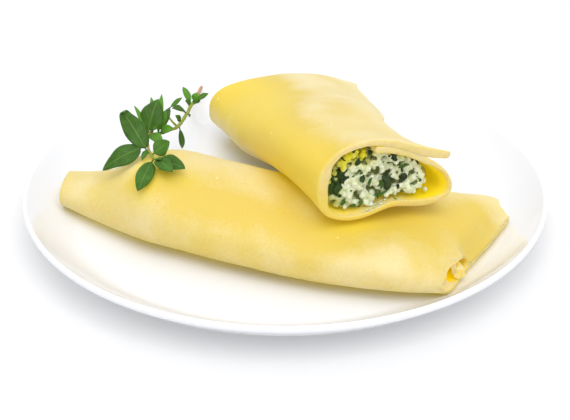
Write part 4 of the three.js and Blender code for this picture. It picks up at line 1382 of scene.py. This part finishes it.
def filling_face(name, place, settings, curds, loose, seed, reach, back):
    """The crumbly end of the filling: curds fused on a plug that fills the room behind them."""
    draw = random.Random(seed)
    smallest = settings.curd_size / MM
    face = face_frame(place)
    shape = ball(2)
    parts = Parts()
    parts.add_loft(filling_plug(place, reach))
    for x, z, size, proud in curds:
        curd_cluster(parts, shape, draw, (x, z, proud - size * 0.62 - 1.2), size, face, smallest)
        curd_cluster(parts, shape, draw, (x, z, proud - size - 3.4), size * 1.1, face, smallest)
    room = clear_outline(place, 1.2, reach)
    low, high = room.min(0), room.max(0)
    placed = 0
    while placed < loose:
        spot = (draw.uniform(low[0], high[0]), draw.uniform(low[1], high[1]))
        if inside(spot, room):
            size = draw.uniform(0.7, 1.7)
            curd_cluster(parts, shape, draw, (*spot, draw.uniform(-4.2, -2.0)), size, face, smallest)
            placed += 1
    points, faces = fused(name, parts, 0.34)
    points = points + 0.22 * np.stack([noise_at(points, 0.9, seed + k) for k in range(3)], -1)
    points, flat = clamp_to_room(points, place, 0.12)
    depth = -(points - face[0]) @ face[3]
    masks = filling_masks(points, flat, depth, sizes_at(CUT, place)["crown"], seed, back)
    return make_piece(name, points, faces, [], cheese_material(settings), masks)


def spinach_piece(parts, draw, face, spec):
    """A limp scrap of leaf with a wavy outline."""
    foot, across, up, out = face
    x, z, width, height, turn, forward, fresh = spec
    rings, around = 5, 22
    half_thick = 0.17
    angles = np.linspace(0, 2 * math.pi, around, endpoint=False)
    phase = [draw.uniform(0, 6.3) for _ in range(4)]
    outline = 1 + 0.16 * np.sin(2 * angles + phase[0]) + 0.12 * np.sin(3 * angles + phase[1])
    outline = outline + 0.07 * np.sin(5 * angles + phase[2])
    bend = draw.uniform(-0.35, 0.35)
    ripple = 0.12 * min(width, height) * np.sin(3 * angles + phase[3])
    turned = math.radians(turn)
    layers = []
    for sign in (1, -1):
        rows = []
        for k in range(rings + 1):
            share = k / rings
            u = width * share * outline * np.cos(angles)
            v = height * share * outline * np.sin(angles)
            lift = bend * (u * u - v * v) / max(width, height) + share * ripple
            lift = forward - 0.9 + lift + sign * half_thick * (1 - share**4)
            a = x + u * math.cos(turned) - v * math.sin(turned)
            b = z + u * math.sin(turned) + v * math.cos(turned)
            rows.append(foot + a[:, None] * across + b[:, None] * up + lift[:, None] * out)
        layers.append(rows)
    front, behind = layers
    points = np.vstack([front[0][:1]] + front[1:] + behind[1:-1][::-1] + [behind[0][:1]])
    crumple = min(width, height, 1.4) * 0.42
    points = points + crumple * np.stack([noise_at(points, 1.3, 60 + k) for k in range(3)], -1)
    ring_count = 2 * rings - 1
    last = 1 + (ring_count - 1) * around
    faces = []
    for j in range(around):
        k = (j + 1) % around
        faces.append((0, 1 + j, 1 + k))
        for i in range(ring_count - 1):
            a = 1 + i * around
            faces.append((a + j, a + around + j, a + around + k, a + k))
        faces.append((last + k, last + j, len(points) - 1))
    parts.add(points, faces, fresh=fresh)


# Where crumbs lie on the lower wall at the cut: from and to a bearing in degrees, and how many.
CRUMBS = ((228, 262, 46), (262, 322, 34), (322, 345, 8))


def cheese_crumbs(draw):
    """Small crumbs of cheese that lie on the lower wall of the sheet at the cut."""
    foot, across, up, out = face_frame(0)
    s = sizes_at(CUT, 0)
    outline = ring_outline(s, -SHEET / 2 + 0.1, 720)
    bearing = np.degrees(np.arctan2(outline[:, 1] - s["crown"] * 0.45, outline[:, 0])) % 360
    points, faces = ball(2)
    parts = Parts(("oily", "green"))
    for low, high, count in CRUMBS:
        for _ in range(count):
            x, z = outline[np.argmin(np.abs(bearing - draw.uniform(low, high)))]
            size = draw.uniform(0.14, 0.3) + 0.3 * draw.random() ** 4
            z += draw.uniform(-0.9, 0.1)
            centre = foot + across * x + up * z + out * draw.uniform(-3.2, 0.2)
            scale = np.array([draw.uniform(0.8, 1.4), draw.uniform(0.8, 1.4), draw.uniform(0.6, 1)])
            rough = 0.12 * noise_at(points, 0.5, size)[:, None]
            parts.add(points * size * scale + centre + rough, faces)
    return parts


def far_pieces(draw, count, *ranges):
    """Random curds or scraps on the far end: a spot in the room there, and a draw from each range."""
    room = clear_outline(FAR_END, 2.4, 0.9)
    pieces = []
    while len(pieces) < count:
        spot = (draw.uniform(-22, 22), draw.uniform(1, 18))
        if inside(spot, room):
            pieces.append((*spot, *(draw.uniform(low, high) for low, high in ranges)))
    return pieces


def filling_core():
    """Rings of the filling between its two ends, out of sight inside the sheet."""
    places = np.linspace(0.1, 0.9, 40)
    rows = np.array([stand(clear_outline(place, 0.35, 0.93), sizes_at(CUT, place)) for place in places])
    return rows + 0.15 * noise_at(rows, 3, 31)[..., None]


class CANNELLONI_OT_filling(bpy.types.Operator):
    """Fills the cut cannelloni with ricotta and spinach"""

    bl_idname = "cannelloni.filling"
    bl_label = "Filling"

    def execute(self, context):
        settings = context.scene.filling_settings
        draw = random.Random(5)
        far_curds = far_pieces(draw, 26, (1.4, 2.8), (-0.6, 0.6))
        far_spinach = far_pieces(draw, 22, (0.8, 2.4), (0.6, 1.8), (-80, 80), (0.2, 1.5), (0, 0.6))
        piece = filling_face("ricotta_front", NEAR_END, settings, FRONT_CURDS, 120, 3, 0.69, 0.0)
        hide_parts("filling")
        filling_face("ricotta_back", FAR_END, settings, far_curds, 90, 8, 0.9, 0.2)

        scraps = Parts(("fresh",))
        for end, specs in ((NEAR_END, FRONT_SPINACH), (FAR_END, far_spinach)):
            for spec in specs:
                spinach_piece(scraps, draw, face_frame(end), spec)
        points, faces, masks = scraps.arrays()
        make_piece("spinach", points, faces, [], spinach_material(settings), masks)

        cheese = cheese_material(settings)
        points, faces, masks = cheese_crumbs(draw).arrays()
        make_piece("crumbs", points, faces, [], cheese, masks)
        core = Parts(("oily", "green"))
        core.add_loft(filling_core(), oily=0.4, green=0.3)
        points, faces, masks = core.arrays()
        make_piece("filling_core", points, faces, [], cheese, masks)
        return {"FINISHED"}


# ---------------------------------------------------------------- the thyme sprig

STEM = (
    (-48, -14.7, 36.3), (-49.6, -11.7, 36.4), (-51.3, -6.1, 36.6), (-52, 0.5, 36.6), (-51.9, 8.3, 35.6),
    (-49.3, 12.5, 33.1), (-45.3, 22.9, 29.6), (-42.4, 34.1, 25.6), (-39.7, 52.7, 22.1), (-38.6, 62.8, 20.6),
    (-37.3, 69.1, 19.6), (-35.2, 88.2, 17.1),
)
SHOOT = ((-42.6, 33.6, 25.6), (-44.9, 33.3, 28.6), (-46, 33.7, 30.6), (-45.8, 37.7, 31.9))
# Each leaf: its base on the stem, its tip, its width, how young it is, and how far its tip folds over.
LEAVES = (
    ((-49.4, -11.3, 36.4), (-42.9, -10.2, 41.6), 7, 0.25, 0),
    ((-48.3, -14.4, 36.2), (-36.6, -24, 37.4), 6.6, 0, 0),
    ((-48.2, -14.4, 36.2), (-41.1, -27.7, 38.2), 5.6, 0.1, 0),
    ((-48.8, -14.8, 36.4), (-53.8, -31.6, 32.1), 6.6, 0.1, 0),
    ((-48, -14.8, 36.4), (-45.6, -21.1, 39.6), 2, 0.5, 0),
    ((-52.9, -6.3, 37.2), (-68.3, -10.7, 29.6), 8.2, 0, 0),
    ((-51.6, -7.4, 35.6), (-62.9, 9.3, 45.3), 8.2, 0, 0.3),
    ((-51.2, -6.1, 36.4), (-53.2, -14.8, 36), 2.4, 0.3, 0),
    ((-52.4, 8.1, 35.8), (-48.6, 17.2, 45.8), 9.2, 0, 0),
    ((-52, 6.7, 36.2), (-56.9, 7.5, 41.6), 3.4, 0.3, 0),
    ((-51.6, 9.5, 35.6), (-48.7, 7.4, 38.6), 2.8, 0.3, 0),
    ((-51.8, 6.5, 36.2), (-46.1, -3.7, 37.4), 4.4, 0.8, 0),
    ((-52.1, 8.3, 36), (-57.7, 14.9, 44), 2, 0.9, 0),
    ((-52, 8.6, 35.8), (-53.9, 14, 43.6), 2.2, 0.6, 0),
    ((-48.8, 13.6, 33), (-52.2, 28.3, 41.2), 2.6, 0.9, 0),
    ((-48.6, 14.2, 32.7), (-48.2, 31.8, 40.7), 2.4, 0.9, 0),
    ((-48.9, 13.4, 33.1), (-46.2, 20.3, 39.6), 4, 0.5, 0),
    ((-48, 15.8, 32.2), (-45, 27.6, 37.2), 3.2, 0, 0),
    ((-48.6, 14.2, 32.9), (-43.2, 12.9, 35.7), 4.4, 0.9, 0),
    ((-45.8, 37.6, 31.7), (-40.9, 41.1, 34.7), 2, 0.4, 0),
    ((-39.7, 52.9, 22.2), (-45, 46.5, 27.7), 3.6, 0, 0),
    ((-41.4, 40.4, 24.5), (-43.6, 39.7, 27.7), 2.6, 0.2, 0),
    ((-42, 35.4, 25.3), (-41.5, 42.1, 11.7), 2.4, 0.2, 0),
    ((-38.4, 64.4, 20.5), (-42.1, 70, 25.7), 2.8, 1, 0),
    ((-37.8, 67, 20.1), (-36.2, 68.8, 23.7), 3, 1, 0),
    ((-37.3, 68.8, 19.7), (-31.8, 72.9, 21.2), 2.4, 0.4, 0),
    ((-38.5, 63.4, 20.7), (-40.8, 62.5, 23.2), 2.8, 0, 0),
    ((-38.5, 63.4, 20.7), (-35.3, 71.3, 18.7), 2.6, 0.1, 0),
    ((-39.5, 54.1, 21.9), (-39.2, 57, 18.2), 1.8, 0.1, 0),
)


def curve_points(points, count):
    """A smooth curve through points in space, at even steps."""
    points = np.array(points, float)
    padded = np.vstack([2 * points[0] - points[1], points, 2 * points[-1] - points[-2]])
    rows = []
    for i in range(1, len(padded) - 2):
        p0, p1, p2, p3 = padded[i - 1:i + 3]
        t = np.linspace(0, 1, 24, endpoint=False)[:, None]
        bend, sway = 2 * p0 - 5 * p1 + 4 * p2 - p3, 3 * p1 - p0 - 3 * p2 + p3
        rows.append(0.5 * (2 * p1 + (p2 - p0) * t + bend * t**2 + sway * t**3))
    return even_steps(np.vstack(rows + [points[-1:]]), count)


def stalk(parts, points, radii, woody):
    """A slender four-sided stalk with rounded ridges."""
    around = 16
    run = np.gradient(points, axis=0)
    run /= np.linalg.norm(run, axis=1)[:, None]
    side = np.cross(run, [0.3, -0.4, 1.0])
    side /= np.linalg.norm(side, axis=1)[:, None]
    top = np.cross(side, run)
    angles = np.linspace(0, 2 * math.pi, around, endpoint=False)
    square = 1 + 0.1 * np.cos(4 * angles)
    rings = [
        p + (np.cos(angles) * square * r)[:, None] * a + (np.sin(angles) * square * r)[:, None] * b
        for p, a, b, r in zip(points, side, top, radii)
    ]
    parts.add_loft(rings, woody=np.repeat(woody, around))


def leaf(parts, base, tip, width, young, fold, thickness):
    """A thin leaf, folded a little along its midrib and bent over its length."""
    start = np.array(base, float)
    axis = np.array(tip, float) - start
    length = np.linalg.norm(axis)
    axis /= length
    across = np.cross(axis, [0, -0.6, 1])
    across /= np.linalg.norm(across)
    up = np.cross(across, axis)
    rows, columns = 30, 11
    t = np.linspace(0, 1, rows)
    broad = width > 7.1
    bare = 0.07 if broad else 0.14
    blade = np.clip((t - bare) / (1 - bare), 0, 1)
    half = np.maximum((width / 2) * np.sin(math.pi * blade ** (0.68 if broad else 0.85)) ** 0.75, 0.22)
    half[-1] = 0.05
    arch = (0.12 if broad else 0.08) * length * np.sin(math.pi * t) + 0.25 * np.sin(7 * t + width)
    run = t * length
    if fold:
        past = np.maximum(t - (1 - fold), 0) / fold
        run = np.minimum(run, length * (1 - fold)) + length * fold * np.sin(past * 2.6) / 2.6
        arch = arch + length * fold * (1 - np.cos(past * 2.6)) / 2.6
    u = np.linspace(-1, 1, columns)
    wave = 0.07 * width * np.sin(9 * t + 2 * width)[:, None]
    ruffle = wave * np.sign(u) * u**2 * np.sin(math.pi * t)[:, None]
    valley = 0.16 * half[:, None] * np.abs(u) ** 0.8 - 0.12 * half[:, None] * u**4
    middle = (
        start + run[:, None, None] * axis + (half[:, None] * u)[..., None] * across
        + (arch[:, None] + valley + ruffle)[..., None] * up
    )
    along_run = np.gradient(middle, axis=0)
    across_run = np.gradient(middle, axis=1)
    normal = np.cross(across_run, along_run)
    normal /= np.maximum(np.linalg.norm(normal, axis=-1), 1e-9)[..., None]
    if np.sum(normal * up) < 0:
        normal = -normal
    body = thickness / 2 * (1 - 0.75 * np.abs(u) ** 3)[None, :, None]
    rib = 0.25 * hump(u, 0, 0.12)[None, :, None] * (1 - t)[:, None, None]
    upper = middle + normal * (body - rib * 0.3)
    lower = middle - normal * (body + rib)
    points = np.vstack([upper.reshape(-1, 3), lower.reshape(-1, 3)])
    size = rows * columns
    faces = [face[::-1] for face in grid_faces(rows, columns, 0, False)]
    faces += grid_faces(rows, columns, size, False)
    for i in range(rows - 1):
        a, b = i * columns, (i + 1) * columns
        faces.append((a, b, size + b, size + a))
        a, b = a + columns - 1, b + columns - 1
        faces.append((b, a, size + a, size + b))
    for j in range(columns - 1):
        faces.append((j + 1, j, size + j, size + j + 1))
        a = (rows - 1) * columns + j
        faces.append((a, a + 1, size + a + 1, size + a))
    side = np.tile(np.broadcast_to(u, (rows, columns)).ravel(), 2)
    along = np.tile(np.repeat(t, columns), 2)
    under = np.repeat([0.0, 1.0], size)
    parts.add(points, faces, side=side, along=along, under=under, young=young)


class CANNELLONI_OT_sprig(bpy.types.Operator):
    """Lays the thyme sprig over the whole cannelloni"""

    bl_idname = "cannelloni.sprig"
    bl_label = "Thyme sprig"

    def execute(self, context):
        settings = context.scene.sprig_settings
        stalks = Parts(("woody",))
        line = curve_points(STEM, 150)
        t = np.linspace(0, 1, len(line))
        knots = 0.1 * hump((t * 14) % 1, 0.5, 0.12) * (t < 0.85)
        radii = 0.52 + 0.12 * smooth(t, 0.2, 0.35) + knots
        radii[0], radii[-1] = 0.3, 0.5
        woody = smooth(t, 0.88, 0.92) + 0.45 * plateau(t, 0.04, 0.08, 0.2, 0.3)
        stalk(stalks, line, radii, woody)
        line = curve_points(SHOOT, 40)
        stalk(stalks, line, np.linspace(0.5, 0.3, len(line)), np.zeros(len(line)))
        points, faces, masks = stalks.arrays()
        make_piece("thyme_stem", points, faces, ["thyme_sprig"], stem_material(settings), masks)

        leaves = Parts(("side", "along", "under", "young"))
        for base, tip, width, young, fold in LEAVES:
            leaf(leaves, base, tip, width, young, fold, settings.leaf_thickness / MM)
        points, faces, masks = leaves.arrays()
        make_piece("thyme_leaves", points, faces, [], leaf_material(settings), masks)
        return {"FINISHED"}


# ---------------------------------------------------------------- the stage


def soft_sun(name, towards, strength, spread):
    """A wide, even light from a direction, spread over an angle in degrees."""
    lamp = bpy.data.lights.new(name, "SUN")
    lamp.energy, lamp.angle = strength, math.radians(spread)
    holder = bpy.data.objects.new(name, lamp)
    holder.rotation_euler = Vector(towards).to_track_quat("Z", "Y").to_euler()
    bpy.context.scene.collection.objects.link(holder)


class CANNELLONI_OT_stage(bpy.types.Operator):
    """Sets the table, the lights and the camera"""

    bl_idname = "cannelloni.stage"
    bl_label = "Stage"

    def execute(self, context):
        settings = context.scene.stage_settings
        scene = context.scene
        floor = bpy.data.meshes.new("table")
        reach = 4.0
        corners = [(-reach, -reach, 0), (reach, -reach, 0), (reach, reach, 0), (-reach, reach, 0)]
        floor.from_pydata(corners, [], [(0, 1, 2, 3)])
        floor.materials.append(floor_material(settings))
        table = bpy.data.objects.new("table", floor)
        scene.collection.objects.link(table)

        world = bpy.data.worlds.new("studio")
        scene.world = world
        world.use_nodes = True
        background = world.node_tree.nodes["Background"]
        background.inputs["Color"].default_value = (1, 1, 1, 1)
        background.inputs["Strength"].default_value = 0.74
        soft_sun("overhead", (-0.1, 0.3, 0.9), 0.45, 60)
        soft_sun("front", (0.08, -0.5, 0.85), 1.56, 50)
        scene.view_settings.view_transform = "Standard"

        lens = bpy.data.cameras.new("camera")
        lens.sensor_width, lens.lens = 36.0, 123.3
        camera = bpy.data.objects.new("camera", lens)
        target = Vector((0, -0.0023, 0.008))
        away = Vector((0, -math.cos(settings.elevation), math.sin(settings.elevation)))
        camera.location = target + away * settings.distance
        camera.rotation_euler = (math.pi / 2 - settings.elevation, 0, 0)
        scene.collection.objects.link(camera)
        scene.camera = camera
        return {"FINISHED"}


# ---------------------------------------------------------------- the panel and the run


class CANNELLONI_PT_panel(bpy.types.Panel):
    """Lists the pieces of the dish"""

    bl_idname = "CANNELLONI_PT_panel"
    bl_label = "Cannelloni"
    bl_space_type = "VIEW_3D"
    bl_region_type = "UI"
    bl_category = "Cannelloni"

    def draw(self, context):
        for operator in OPERATORS:
            self.layout.operator(operator.bl_idname)


SETTINGS = {
    "plate_settings": PlateSettings,
    "pasta_settings": PastaSettings,
    "filling_settings": FillingSettings,
    "sprig_settings": SprigSettings,
    "stage_settings": StageSettings,
}
OPERATORS = (
    CANNELLONI_OT_plate,
    CANNELLONI_OT_whole_roll,
    CANNELLONI_OT_cut_roll,
    CANNELLONI_OT_filling,
    CANNELLONI_OT_sprig,
    CANNELLONI_OT_stage,
)


def register():
    for name, group in SETTINGS.items():
        bpy.utils.register_class(group)
        setattr(bpy.types.Scene, name, PointerProperty(type=group))
    for operator in OPERATORS:
        bpy.utils.register_class(operator)
    bpy.utils.register_class(CANNELLONI_PT_panel)


def unregister():
    bpy.utils.unregister_class(CANNELLONI_PT_panel)
    for operator in reversed(OPERATORS):
        bpy.utils.unregister_class(operator)
    for name, group in SETTINGS.items():
        delattr(bpy.types.Scene, name)
        bpy.utils.unregister_class(group)


def main():
    register()
    bpy.ops.cannelloni.plate()
    bpy.ops.cannelloni.whole_roll()
    bpy.ops.cannelloni.cut_roll()
    bpy.ops.cannelloni.filling()
    bpy.ops.cannelloni.sprig()
    bpy.ops.cannelloni.stage()


if __name__ == "__main__":
    main()
